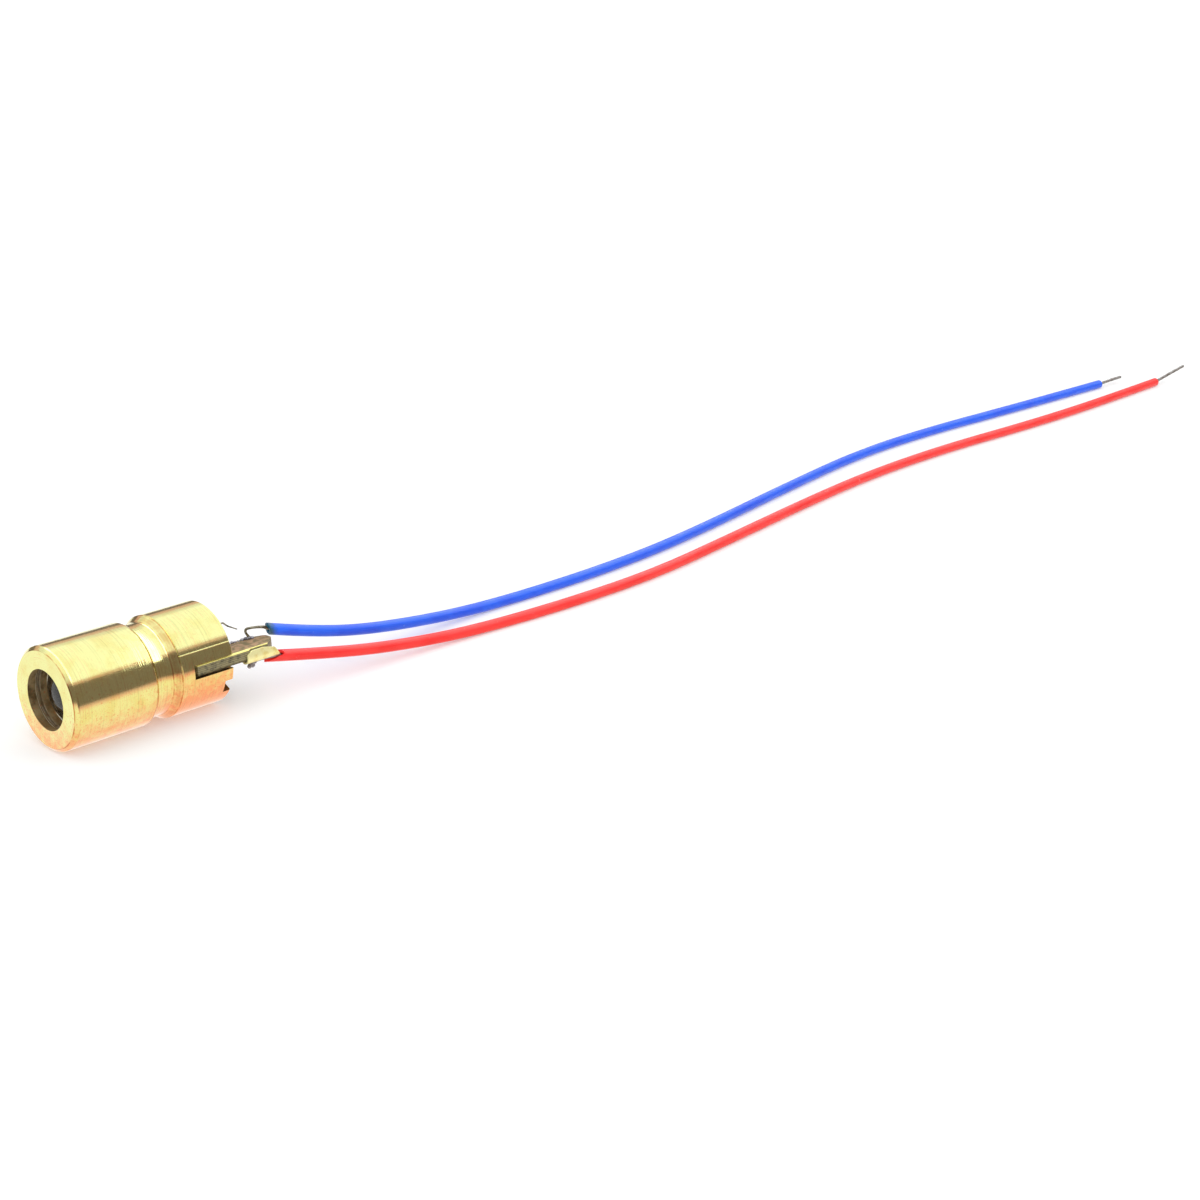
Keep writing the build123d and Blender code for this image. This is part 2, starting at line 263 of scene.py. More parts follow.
def sharpen(obj: Piece, degrees: float = 32.0) -> None:
    """Keep edges crisp where two faces meet at more than an angle, and smooth elsewhere."""
    obj.data.set_sharp_from_angle(angle=math.radians(degrees))


def flattened(obj: Piece) -> Piece:
    """Let wide faces keep their own direction, so that only the narrow broken edges bend the light.

    Args:
        obj: The piece, which is removed.

    Returns:
        The same piece with weighted normals.
    """
    weighted = obj.modifiers.new("weighted", "WEIGHTED_NORMAL")
    weighted.mode = "FACE_AREA"
    weighted.weight = 100
    weighted.keep_sharp = True
    return baked(obj)


def bevelled(bm: WorkMesh, width: float, degrees: float = 28.0) -> WorkMesh:
    """Break every edge that is sharper than an angle, as deburring does.

    Args:
        bm: The mesh, in millimetres, changed in place.
        width: Width of the broken edge, in millimetres.
        degrees: The angle from which an edge counts as sharp.

    Returns:
        The same mesh.
    """
    limit = math.radians(degrees)
    edges = [e for e in bm.edges if len(e.link_faces) == 2 and e.calc_face_angle(0.0) > limit]
    bmesh.ops.bevel(
        bm, geom=edges, offset=width, offset_type="OFFSET", segments=2, profile=0.5, affect="EDGES",
        clamp_overlap=True)
    return bm


def join_loops(bm: WorkMesh, loops: Sequence[Sequence[bmesh.types.BMVert]]) -> None:
    """Lay a band of faces from each closed loop of vertices to the next.

    Args:
        bm: The mesh that the loops belong to.
        loops: The loops, with as many vertices each.
    """
    for low, high in zip(loops, loops[1:]):
        for i in range(len(low)):
            j = (i + 1) % len(low)
            bm.faces.new((low[i], low[j], high[j], high[i]))


def lathe(profile: Sequence[Pair], sides: int) -> WorkMesh:
    """Turn a closed outline of (x, radius) points about the X axis.

    Args:
        profile: The outline, in millimetres.
        sides: Facets around the axis.

    Returns:
        A closed mesh whose faces point outwards.
    """
    bm = bmesh.new()
    rings = []
    for i in range(sides):
        angle = 2 * math.pi * i / sides
        rings.append([bm.verts.new((x, r * math.sin(angle), r * math.cos(angle))) for x, r in profile])
    join_loops(bm, [*rings, rings[0]])
    bmesh.ops.remove_doubles(bm, verts=bm.verts, dist=1e-5)
    bmesh.ops.dissolve_degenerate(bm, edges=bm.edges, dist=1e-6)
    bmesh.ops.recalc_face_normals(bm, faces=bm.faces)
    return bm


def block(low: Point, high: Point, roll_degrees: float) -> WorkMesh:
    """Make a box between two corners, then roll it about the X axis.

    Args:
        low: Lowest corner, in millimetres.
        high: Highest corner.
        roll_degrees: Turn about X.

    Returns:
        The mesh.
    """
    bm = bmesh.new()
    bmesh.ops.create_cube(bm, size=1.0)
    stretch = Matrix.Diagonal((*(Vector(high) - Vector(low)), 1.0))
    shift = Matrix.Translation((Vector(high) + Vector(low)) / 2)
    roll = Matrix.Rotation(math.radians(roll_degrees), 4, "X")
    bmesh.ops.transform(bm, matrix=roll @ shift @ stretch, verts=bm.verts)
    return bm


def cut_away(bm: WorkMesh, cutters: Iterable[WorkMesh]) -> WorkMesh:
    """Take cutters out of a mesh.

    Args:
        bm: The mesh to cut, in millimetres. It is freed.
        cutters: The meshes that are taken out of it. They are freed.

    Returns:
        The cut mesh.
    """
    work = linked("work", stored("work", bm))
    tools = [linked("cutter", stored("cutter", cutter)) for cutter in cutters]
    for tool in tools:
        cut = work.modifiers.new("cut", "BOOLEAN")
        cut.operation = "DIFFERENCE"
        cut.solver = "EXACT"
        cut.object = tool
    work = baked(work)
    result = opened(work)
    for obj in [work, *tools]:
        bpy.data.objects.remove(obj)
    bmesh.ops.remove_doubles(result, verts=result.verts, dist=1e-4)
    bmesh.ops.dissolve_degenerate(result, edges=result.edges, dist=1e-5)
    return result


def rod(points: Sequence[Point], radii: Sequence[float], sides: int = 16) -> WorkMesh:
    """Sweep a round section with its own radius at each point, closed at both ends.

    Args:
        points: The middle line, in millimetres.
        radii: The radius at each point.
        sides: Facets around the line.

    Returns:
        The mesh.
    """
    bm = bmesh.new()
    line = [Vector(p) for p in points]
    turns = [2 * math.pi * j / sides for j in range(sides)]
    side = Vector((0.0, 0.0, 1.0))
    rings = []
    for i, (here, radius) in enumerate(zip(line, radii)):
        tangent = (line[min(i + 1, len(line) - 1)] - line[max(i - 1, 0)]).normalized()
        side = (side - tangent * side.dot(tangent)).normalized()
        other = tangent.cross(side)
        spokes = [side * math.cos(turn) + other * math.sin(turn) for turn in turns]
        rings.append([bm.verts.new(here + spoke * radius) for spoke in spokes])
    join_loops(bm, rings)
    bm.faces.new(rings[0])
    bm.faces.new(rings[-1])
    bmesh.ops.recalc_face_normals(bm, faces=bm.faces)
    return bm


def smooth_line(points: Sequence[Point], per_span: int) -> list[Vector]:
    """Pass a Catmull-Rom curve through points.

    Args:
        points: Points on the curve.
        per_span: Steps from one point to the next.

    Returns:
        Points along the curve.
    """
    line = [Vector(p) for p in points]
    padded = [line[0] * 2 - line[1], *line, line[-1] * 2 - line[-2]]
    result = []
    for a, b, c, d in zip(padded, padded[1:], padded[2:], padded[3:]):
        for i in range(per_span):
            t = i / per_span
            square = (2 * a - 5 * b + 4 * c - d) * t ** 2
            cube = (3 * b - a - 3 * c + d) * t ** 3
            result.append(0.5 * (2 * b + (c - a) * t + square + cube))
    result.append(line[-1])
    return result


def open_curve(name: str, points: Sequence[Vector], smooth: bool = True) -> Piece:
    """Make an open curve.

    Args:
        name: The curve's name.
        points: Its control points, in metres.
        smooth: Whether it is a NURBS curve from the first point to the last, or straight spans.

    Returns:
        The curve object.
    """
    curve = bpy.data.curves.new(name, "CURVE")
    curve.dimensions = "3D"
    spline = curve.splines.new("NURBS" if smooth else "POLY")
    spline.points.add(len(points) - 1)
    for point, place in zip(spline.points, points):
        point.co = (*place, 1.0)
    if smooth:
        curve.resolution_u = 32
        spline.order_u = 3
        spline.use_endpoint_u = True
    return linked(name, curve)


def settle(piece: Piece, nodes: Sequence[str] = ()) -> Piece:
    """Let a piece ride on the part, and say what it stands for.

    Args:
        piece: The finished piece.
        nodes: The CAD nodes that it replaces.

    Returns:
        The same piece.
    """
    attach(piece, BODY)
    if nodes:
        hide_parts(*nodes)
    LOG.info("%s: %d faces, stands for %s", piece.name, len(piece.data.polygons), list(nodes))
    return piece


# Finishes


@dataclass(frozen=True)
class Finish:
    """A surface with two colours in soft patches, a gloss that varies and a fine grain.

    Sizes are in millimetres on the real object. Each method that makes nodes takes the material's tree, and
    place, which is the position in millimetres that its pattern reads, and returns what it has made.
    """

    name: str
    base: str
    patch: str
    patch_size: float = 1.0
    patch_low: float = 0.45
    patch_high: float = 0.7
    metallic: float = 0.0
    roughness: float = 0.4
    roughness_swing: float = 0.1
    grain_size: float = 0.05
    grain_height: float = 0.002
    ior: float = 1.5

    def build(self) -> Material:
        """Make the material."""
        material = bpy.data.materials.new(self.name)
        tree = emptied(material)
        metres = add_node(tree, "ShaderNodeTexCoord").outputs["Object"]
        scaled = add_node(tree, "ShaderNodeVectorMath", {0: metres, "Scale": 1 / MM}, operation="SCALE")
        place = scaled.outputs[0]
        shader = add_node(tree, "ShaderNodeBsdfPrincipled", {
            "Metallic": self.metallic, "Base Color": self.colour(tree, place),
            "Roughness": self.gloss(tree, place), "Normal": self.relief(tree, place)})
        if not self.metallic:
            shader.inputs["IOR"].default_value = self.ior
        self.extras(shader)
        add_node(tree, "ShaderNodeOutputMaterial", {"Surface": shader})
        return material

    def patches(self, tree: Tree, place: Socket, size: float, low: float, high: float,
                detail: float = 3.0) -> Socket:
        """Make a mask of soft patches.

        Args:
            tree: The material's nodes.
            place: Position in millimetres.
            size: Size of a patch, in millimetres.
            low: Noise level at which the patches start.
            high: Noise level at which they are full.
            detail: Octaves of finer noise.

        Returns:
            A value from 0 to 1.
        """
        noise = add_node(tree, "ShaderNodeTexNoise", {"Vector": place, "Scale": 1 / size, "Detail": detail})
        spread = add_node(tree, "ShaderNodeMapRange", {
            "Value": noise, "From Min": low, "From Max": high}, interpolation_type="SMOOTHSTEP")
        return spread.outputs[0]

    def blended(self, tree: Tree, mask: Socket | Node, below: Socket | str, above: Socket | str) -> Socket:
        """Mix two colours by a mask.

        Args:
            tree: The material's nodes.
            mask: 0 shows the first colour and 1 the second.
            below: A colour socket or a hex colour.
            above: A colour socket or a hex colour.

        Returns:
            The mixed colour.
        """
        pair = [linear(c) if isinstance(c, str) else c for c in (below, above)]
        mix = add_node(tree, "ShaderNodeMix", {0: mask, 6: pair[0], 7: pair[1]}, data_type="RGBA")
        return mix.outputs[2]

    def colour(self, tree: Tree, place: Socket) -> Socket:
        """Give the base colour its patches."""
        mask = self.patches(tree, place, self.patch_size, self.patch_low, self.patch_high)
        return self.blended(tree, mask, self.base, self.patch)

    def gloss(self, tree: Tree, place: Socket) -> Socket:
        """Let the roughness vary a little from place to place."""
        scale = 1 / (0.6 * self.patch_size)
        noise = add_node(tree, "ShaderNodeTexNoise", {"Vector": place, "Scale": scale})
        swing = add_node(tree, "ShaderNodeMapRange", {
            "Value": noise, "From Min": 0.3, "From Max": 0.7, "To Min": self.roughness - self.roughness_swing,
            "To Max": self.roughness + self.roughness_swing})
        return swing.outputs[0]

    def relief(self, tree: Tree, place: Socket) -> Socket:
        """Raise the fine grain."""
        noise = add_node(tree, "ShaderNodeTexNoise", {"Vector": place, "Scale": 1 / self.grain_size})
        return self.raised(tree, noise, self.grain_height)

    def raised(self, tree: Tree, height: Socket | Node, tall: float, under: Socket | None = None) -> Socket:
        """Turn a height from 0 to 1 into a bumped normal.

        Args:
            tree: The material's nodes.
            height: The height.
            tall: How tall a height of 1 is, in millimetres.
            under: A normal that it is added to.

        Returns:
            The normal.
        """
        inputs = {"Height": height, "Distance": tall * MM, "Strength": 1.0}
        if under is not None:
            inputs["Normal"] = under
        return add_node(tree, "ShaderNodeBump", inputs).outputs[0]

    def extras(self, shader: Node) -> None:
        """Set what only this finish has."""


@dataclass(frozen=True)
class TurnedBrass(Finish):
    """Free-cutting brass as it leaves the lathe: fine rings that draw the light out along the axis.

    Real feed rings stand a few hundredths of a millimetre apart. Rings, streaks and the tool marks' painted
    groove shade are drawn coarser, so that they show. A corner is its x, its radius, its line's width and its
    strength.
    """

    feed: float = 0.09
    feed_height: float = 0.003
    groove_shade: str = "8F8A58"
    groove_shade_pitch: float = 0.13
    groove_shade_strength: float = 0.18
    face_share: float = 0.15
    groove_shade_from: Pair = (-5.19, -5.1)
    warm: str = "EAA878"
    warm_size: float = 0.36
    streak_pitch: float = 0.075
    streak_strength: float = 0.4
    speck: str = "D98A5A"
    speck_size: float = 0.13
    scratch_from: Point = (1.73, -2.69, 1.328)
    scratch_to: Point = (5.3, -2.685, 1.338)
    scratch_width: float = 0.04
    corners: Sequence[Corner] = ()
    corner_shade_and_highlight: str = "BC7036"

    def around(self, tree: Tree, place: Socket) -> tuple[Socket, Socket]:
        """Place along the barrel's axis, and distance from the axis."""
        parts = add_node(tree, "ShaderNodeSeparateXYZ", {0: place}).outputs
        across = add_node(tree, "ShaderNodeCombineXYZ", {"Y": parts["Y"], "Z": parts["Z"]})
        radius = add_node(tree, "ShaderNodeVectorMath", {0: across}, operation="LENGTH")
        return parts["X"], radius.outputs["Value"]

    def lines(self, tree: Tree, place: Socket, pitch: float, detail: float) -> Node:
        """Make uneven lines along the turning tool's path: rings on a wall, circles on a face.

        Args:
            tree: The material's nodes.
            place: Position in millimetres.
            pitch: Usual distance from line to line, in millimetres.
            detail: Octaves of finer noise.

        Returns:
            Noise that changes only across the lines.
        """
        along, radius = self.around(tree, place)
        total = add_node(tree, "ShaderNodeMath", {0: along, 1: radius}, operation="ADD")
        step = add_node(tree, "ShaderNodeMath", {0: total, 1: 1 / pitch}, operation="MULTIPLY")
        return add_node(
            tree, "ShaderNodeTexNoise", {"W": step, "Scale": 1.0, "Detail": detail}, noise_dimensions="1D")

    def scratch(self, tree: Tree, place: Socket) -> Node:
        """Mask of the one long scratch beside the slot: close to the line between its two ends."""
        start, end = Vector(self.scratch_from), Vector(self.scratch_to)
        along = (end - start).normalized()
        offset = add_node(tree, "ShaderNodeVectorMath", {0: place, 1: start}, operation="SUBTRACT")
        run = add_node(tree, "ShaderNodeVectorMath", {0: offset, 1: along}, operation="DOT_PRODUCT")
        inside = add_node(tree, "ShaderNodeMath", {0: run.outputs["Value"], 1: 0.0}, operation="GREATER_THAN")
        away = add_node(tree, "ShaderNodeVectorMath", {0: offset, 1: along}, operation="CROSS_PRODUCT")
        far = add_node(tree, "ShaderNodeVectorMath", {0: away}, operation="LENGTH")
        near = add_node(tree, "ShaderNodeMapRange", {
            "Value": far.outputs["Value"], "From Min": 0.0, "From Max": self.scratch_width,
            "To Min": 1.0, "To Max": 0.0}, interpolation_type="SMOOTHSTEP")
        return add_node(tree, "ShaderNodeMath", {0: near, 1: inside}, operation="MULTIPLY")

    def warm_mottles_and_reflection(self, tree: Tree, place: Socket) -> Node:
        """Mask of warm mottles, plus a painted warm reflection towards the underside and the lower rear."""
        parts = add_node(tree, "ShaderNodeSeparateXYZ", {0: place}).outputs
        low = add_node(tree, "ShaderNodeMapRange", {
            "Value": parts["Z"], "From Min": 0.5, "From Max": -2.6, "To Min": -0.33, "To Max": 0.22})
        rear = add_node(tree, "ShaderNodeMapRange", {
            "Value": parts["X"], "From Min": -0.5, "From Max": 2.2, "To Min": 0.0, "To Max": 0.27})
        below = add_node(tree, "ShaderNodeMapRange", {"Value": parts["Z"], "From Min": 1.6, "From Max": 0.2})
        painted_reflection_bias = add_node(tree, "ShaderNodeMath", {0: rear, 1: below, 2: low}, operation="MULTIPLY_ADD")
        noise = add_node(tree, "ShaderNodeTexNoise", {
            "Vector": place, "Scale": 1 / self.warm_size, "Detail": 5.0, "Roughness": 0.65})
        leaned = add_node(tree, "ShaderNodeMath", {0: noise, 1: painted_reflection_bias}, operation="ADD")
        return add_node(tree, "ShaderNodeMapRange", {
            "Value": leaned, "From Min": 0.36, "From Max": 0.8, "To Max": 0.95})

    def streaks(self, tree: Tree, place: Socket) -> Node:
        """Mask of warm streaks along the tool's path, in places."""
        lines = add_node(tree, "ShaderNodeMapRange", {
            "Value": self.lines(tree, place, self.streak_pitch, 3.0), "From Min": 0.5, "From Max": 0.75,
            "To Max": self.streak_strength})
        where = self.patches(tree, place, 0.9, 0.42, 0.66)
        return add_node(tree, "ShaderNodeMath", {0: lines, 1: where}, operation="MULTIPLY")

    def specks(self, tree: Tree, place: Socket) -> Node:
        """Mask of small warm specks, stronger lower down, where they add to the painted warm reflection."""
        parts = add_node(tree, "ShaderNodeSeparateXYZ", {0: place}).outputs
        strength = add_node(tree, "ShaderNodeMapRange", {
            "Value": parts["Z"], "From Min": 1.5, "From Max": 0.0, "To Min": 0.12, "To Max": 0.5})
        where = self.patches(tree, place, self.speck_size, 0.56, 0.72, detail=2.0)
        return add_node(tree, "ShaderNodeMath", {0: where, 1: strength}, operation="MULTIPLY")

    def groove_shade_marks(self, tree: Tree, place: Socket) -> Node:
        """Mask of painted groove shade: dark lines along the tool path, in places, faint on the front face.
        """
        along, radius = self.around(tree, place)
        strength = add_node(tree, "ShaderNodeMapRange", {
            "Value": along, "From Min": self.groove_shade_from[0], "From Max": self.groove_shade_from[1],
            "To Min": self.face_share * self.groove_shade_strength, "To Max": self.groove_shade_strength})
        marks = add_node(tree, "ShaderNodeMapRange", {
            "Value": self.lines(tree, place, self.groove_shade_pitch, 2.0), "From Min": 0.48, "From Max": 0.7,
            "To Max": strength})
        where = self.patches(tree, place, 0.7, 0.3, 0.62)
        return add_node(tree, "ShaderNodeMath", {0: marks, 1: where}, operation="MULTIPLY")

    def painted_corner_lines(self, tree: Tree, place: Socket, clean: Socket) -> Socket:
        """Draw a painted line along each turned corner: brown shade outside, a pale highlight in the bore.

        Args:
            tree: The material's nodes.
            place: Position in millimetres.
            clean: The colour away from the corners.

        Returns:
            The colour with its corner lines.
        """
        along, radius = self.around(tree, place)
        flat = add_node(tree, "ShaderNodeCombineXYZ", {"X": along, "Y": radius})
        line_gaps = self.patches(tree, place, 0.5, 0.3, 0.6)
        result = clean
        for x, r, width, strength in self.corners:
            far = add_node(tree, "ShaderNodeVectorMath", {0: flat, 1: (x, r, 0.0)}, operation="DISTANCE")
            near = add_node(tree, "ShaderNodeMapRange", {
                "Value": far.outputs["Value"], "From Min": 0.3 * width, "From Max": width,
                "To Min": strength, "To Max": 0.0}, interpolation_type="SMOOTHSTEP")
            broken = add_node(tree, "ShaderNodeMath", {0: near, 1: line_gaps}, operation="MULTIPLY")
            result = self.blended(tree, broken, result, self.corner_shade_and_highlight)
        return result

    def colour(self, tree: Tree, place: Socket) -> Socket:
        """Pale brass under mottles and painted reflection, streaks, specks, groove shade and corner lines."""
        pale = super().colour(tree, place)
        # Towards the underside the warm mix is painted reflection of the paper below
        warm = add_node(tree, "ShaderNodeMath", {
            0: self.warm_mottles_and_reflection(tree, place), 1: self.streaks(tree, place)}, operation="ADD", use_clamp=True)
        warmed = self.blended(tree, warm, pale, self.warm)
        specked = self.blended(tree, self.specks(tree, place), warmed, self.speck)
        # Tool marks, darkened as painted shade of the turning grooves
        marked = self.blended(tree, self.groove_shade_marks(tree, place), specked, self.groove_shade)
        # Corner lines: painted shade on the outside, painted highlights in the bore
        return self.painted_corner_lines(tree, place, marked)

    def relief(self, tree: Tree, place: Socket) -> Socket:
        """Feed rings over the fine grain, and the scratch."""
        grain = super().relief(tree, place)
        turned = self.raised(tree, self.lines(tree, place, self.feed, 2.0), self.feed_height, grain)
        return self.raised(tree, self.scratch(tree, place), self.scratch_width / 3, turned)


@dataclass(frozen=True)
class Insulation(Finish):
    """Extruded soft PVC: a satin skin with faint dents and rub marks, scorched where an iron came near."""

    scorch: str = "1C5A78"
    scorch_length: float = 0.0
    rub: str = "FFFFFF"

    def colour(self, tree: Tree, place: Socket) -> Socket:
        """The PVC's own colour, a few pale rub marks, and the scorch near the front end."""
        body = super().colour(tree, place)
        rubs = self.patches(tree, place, 0.35, 0.7, 0.8, detail=2.0)
        faint = add_node(tree, "ShaderNodeMath", {0: rubs, 1: 0.35}, operation="MULTIPLY")
        whitened = self.blended(tree, faint, body, self.rub)
        if not self.scorch_length:
            return whitened
        reach = add_node(tree, "ShaderNodeAttribute", attribute_name=REACH)
        ragged = add_node(tree, "ShaderNodeTexNoise", {"Vector": place, "Scale": 5.0, "Detail": 3.0})
        edge = add_node(tree, "ShaderNodeMath", {
            0: ragged, 1: self.scorch_length, 2: reach.outputs["Fac"]}, operation="MULTIPLY_ADD")
        shade = add_node(tree, "ShaderNodeMapRange", {
            "Value": edge, "From Min": 0.55 * self.scorch_length, "From Max": 1.6 * self.scorch_length,
            "To Min": 1.0, "To Max": 0.0}, interpolation_type="SMOOTHSTEP")
        return self.blended(tree, shade, whitened, self.scorch)

    def relief(self, tree: Tree, place: Socket) -> Socket:
        """Broad shallow dents over a fine skin."""
        skin = super().relief(tree, place)
        dents = add_node(tree, "ShaderNodeTexNoise", {"Vector": place, "Scale": 0.9, "Detail": 1.0})
        return self.raised(tree, dents, 0.03, skin)


@dataclass(frozen=True)
class LensPlastic(Finish):
    """Moulded clear acrylic, as a small collimating lens is made of."""

    def extras(self, shader: Node) -> None:
        """Let light through."""
        shader.inputs["Transmission Weight"].default_value = 1.0


@dataclass(frozen=True)
class StainedFoil(Finish):
    """Copper foil under old flux: brown and dull on top, with a painted highlight along the board's near
    edge.
    """

    bright: str = "FFF79C"
    edge_y: float = -2.64
    edge_width: float = 0.1

    def colour(self, tree: Tree, place: Socket) -> Socket:
        """Stained copper, with a painted highlight along the near edge."""
        stained = super().colour(tree, place)
        parts = add_node(tree, "ShaderNodeSeparateXYZ", {0: place}).outputs
        near = add_node(tree, "ShaderNodeMapRange", {
            "Value": parts["Y"], "From Min": self.edge_y, "From Max": self.edge_y + self.edge_width,
            "To Min": 1.0, "To Max": 0.0}, interpolation_type="SMOOTHSTEP")
        return self.blended(tree, near, stained, self.bright)


@dataclass(frozen=True)
class CutLaminate(Finish):
    """Glass-fibre laminate with a sawn edge: the woven layers show as fine lines."""

    layer: float = 0.12
    weave: str = "D8CFA4"

    def colour(self, tree: Tree, place: Socket) -> Socket:
        """Resin brown with paler glass layers."""
        resin = super().colour(tree, place)
        layers = add_node(tree, "ShaderNodeTexWave", {
            "Vector": place, "Scale": 1 / (3 * self.layer), "Distortion": 2.5, "Detail": 2.0},
            bands_direction="Z")
        faint = add_node(tree, "ShaderNodeMath", {0: layers.outputs["Fac"], 1: 0.25}, operation="MULTIPLY")
        return self.blended(tree, faint, resin, self.weave)


# Turned and left bare: pale yellow metal whose rings stretch each highlight along the axis
BARREL_BRASS = TurnedBrass(
    "turned_free_cutting_brass", "E3E39D", "E0D88C", patch_size=1.1, patch_low=0.42, patch_high=0.72,
    metallic=1.0, roughness=0.13, roughness_swing=0.025, grain_size=0.07, grain_height=0.0009,
    # Its corners carry thin brown lines of painted shade and reflection
    corners=(
        (-5.18, 2.81, 0.055, 0.75), (-4.95, 3.0, 0.05, 0.35), (0.02, 2.98, 0.09, 0.6),
        (0.18, 2.8, 0.055, 0.75), (1.3, 2.72, 0.055, 0.7), (1.52, 2.86, 0.26, 0.38), (1.69, 3.0, 0.055, 0.8)))
# Bored and left rough: its dull brown is painted shade, and the pale lines on its corners are painted
# highlights
SHADED_BORE_BRASS = TurnedBrass(
    "bore_brass_painted_shade", "C6B083", "7F6A46", patch_size=0.5, patch_low=0.4, patch_high=0.7, metallic=0.6,
    roughness=0.4, roughness_swing=0.1, grain_size=0.06, grain_height=0.003, warm="B08A58",
    streak_pitch=0.11, feed_height=0.003, corner_shade_and_highlight="FFF3D2",
    corners=((-4.75, 1.92, 0.075, 0.75), (-4.46, 1.92, 0.075, 0.75), (-4.33, 1.92, 0.075, 0.75)))
# Thin pale rings on the chamber's steps, almost white: they stand in the bore as painted glints
PALE_GLINT_FINISH = Finish(
    "pale_glint_ring_brass", "FFFAE2", "F6E6B4", patch_size=0.4, metallic=0.25, roughness=0.35,
    roughness_swing=0.05, grain_size=0.08, grain_height=0.001)
# Rolled and bent sheet, which was never polished: a bright, soft and even pale yellow
SHEET_BRASS = Finish(
    "bright_brass_sheet", "FDFAB8", "EEE08A", patch_size=0.35, metallic=0.45, roughness=0.4,
    roughness_swing=0.08, grain_size=0.12, grain_height=0.004)
# Moulded in a polished tool: clear, with sharp small reflections
LENS_ACRYLIC = LensPlastic(
    "moulded_clear_acrylic", "F4F7F5", "EDF2EE", patch_size=2.0, roughness=0.03, roughness_swing=0.02,
    grain_size=0.5, grain_height=0.0002, ior=1.49)
# Sawn, so its fibres lie open: matt and dark, with pale threads
LAMINATE = CutLaminate(
    "sawn_glass_fibre_laminate", "756C48", "38331E", patch_size=0.25, roughness=0.55, roughness_swing=0.15,
    grain_size=0.06, grain_height=0.006, ior=1.53)
# Etched copper under dried flux: dull brown, with a painted highlight only along the near edge
FOIL = StainedFoil(
    "flux_stained_copper_foil", "AE8E6A", "776B44", patch_size=0.4, patch_low=0.4, patch_high=0.62,
    metallic=0.35, roughness=0.5, roughness_swing=0.12, grain_size=0.09, grain_height=0.008)
# The same foil underneath, all under flux: drawn darker as painted shade, and without the bright edge
UNDER_FOIL = Finish(
    "flux_coated_lower_foil_painted_shade", "7C6E4A", "4E4730", patch_size=0.4, patch_low=0.4, patch_high=0.62,
    metallic=0.3, roughness=0.5, roughness_swing=0.12, grain_size=0.09, grain_height=0.008)
# Milled and bare: plain reddish metal
SINK_COPPER = Finish(
    "milled_copper", "D9936E", "B8714B", patch_size=0.6, metallic=1.0, roughness=0.3, grain_size=0.05)
# Laid by hand and cooled slowly: grey, lumpy and half dull
SOLDER = Finish(
    "hand_laid_tin_solder", "97979E", "55545A", patch_size=0.3, patch_low=0.45, patch_high=0.7,
    metallic=0.9, roughness=0.34, roughness_swing=0.12, grain_size=0.08, grain_height=0.01)
# Dipped in tin: light grey metal, smoother than solder
TINNED = Finish(
    "tinned_copper_strand", "9A9A98", "6F6A62", patch_size=0.35, metallic=1.0, roughness=0.38,
    roughness_swing=0.1, grain_size=0.05, grain_height=0.003)
# Tinned wire with burnt flux on it: brownish and dull in spots
FLUXED_WIRE = Finish(
    "flux_dulled_strand", "98937E", "57523F", patch_size=0.22, patch_low=0.42, patch_high=0.62,
    metallic=0.5, roughness=0.5, roughness_swing=0.12, grain_size=0.05, grain_height=0.006)
# Moulded ABS with a fine matt texture: swallows stray light in the bore
BLACK_RING = Finish(
    "black_moulded_ring", "1A1A1A", "262626", patch_size=0.6, roughness=0.55, grain_size=0.05,
    grain_height=0.003)
# Cleaved semiconductor: dark and glassy
DIE_CRYSTAL = Finish("polished_crystal", "2B2A2E", "3A383C", patch_size=0.1, roughness=0.15, ior=2.2)
# Drawn through a die: smooth, bright yellow
GOLD_WIRE = Finish("drawn_gold_wire", "F2C65A", "E0AE44", patch_size=0.1, metallic=1.0, roughness=0.2)
# Printed and fired glaze: black with a soft gloss
RESISTOR_GLAZE = Finish(
    "black_resistor_glaze", "17171A", "232326", patch_size=0.2, roughness=0.35, grain_size=0.04,
    grain_height=0.003)
# Extruded soft PVC: deep even colour under a satin skin, scorched at the blue wire's front end
BLUE_PVC = Insulation(
    "blue_soft_pvc", "0C66FF", "0A5AF6", patch_size=2.5, roughness=0.4, roughness_swing=0.06,
    grain_size=0.07, grain_height=0.002, scorch_length=0.5, rub="7AA5FF")
RED_PVC = Insulation(
    "red_soft_pvc", "FF302C", "F8231F", patch_size=2.5, roughness=0.4, roughness_swing=0.06,
    grain_size=0.07, grain_height=0.002, rub="FF9C98")


# Trees of geometry nodes


def new_tree(name: str, sockets: dict[str, str]) -> Tree:
    """Make an empty tree of geometry nodes with named inputs.

    Args:
        name: The tree's name.
        sockets: Name of each input after the geometry, with its kind, such as Float.

    Returns:
        The tree.
    """
    tree = bpy.data.node_groups.new(name, "GeometryNodeTree")
    for socket, kind in {"Geometry": "Geometry", **sockets, "Material": "Material"}.items():
        tree.interface.new_socket(name=socket, in_out="INPUT", socket_type="NodeSocket" + kind)
    tree.interface.new_socket(name="Geometry", in_out="OUTPUT", socket_type="NodeSocketGeometry")
    return tree


def swept(tree: Tree, line: Node, radius: Socket, sides: Socket | int, caps: bool = False) -> Node:
    """Sweep a round section along a line.

    Args:
        tree: The tree.
        line: What the section follows.
        radius: The section's radius.
        sides: Facets round the section.
        caps: Whether both ends are closed.

    Returns:
        The tube.
    """
    section = add_node(tree, "GeometryNodeCurvePrimitiveCircle", {"Resolution": sides, "Radius": radius})
    return add_node(tree, "GeometryNodeCurveToMesh", {
        "Curve": line, "Profile Curve": section, "Fill Caps": caps})


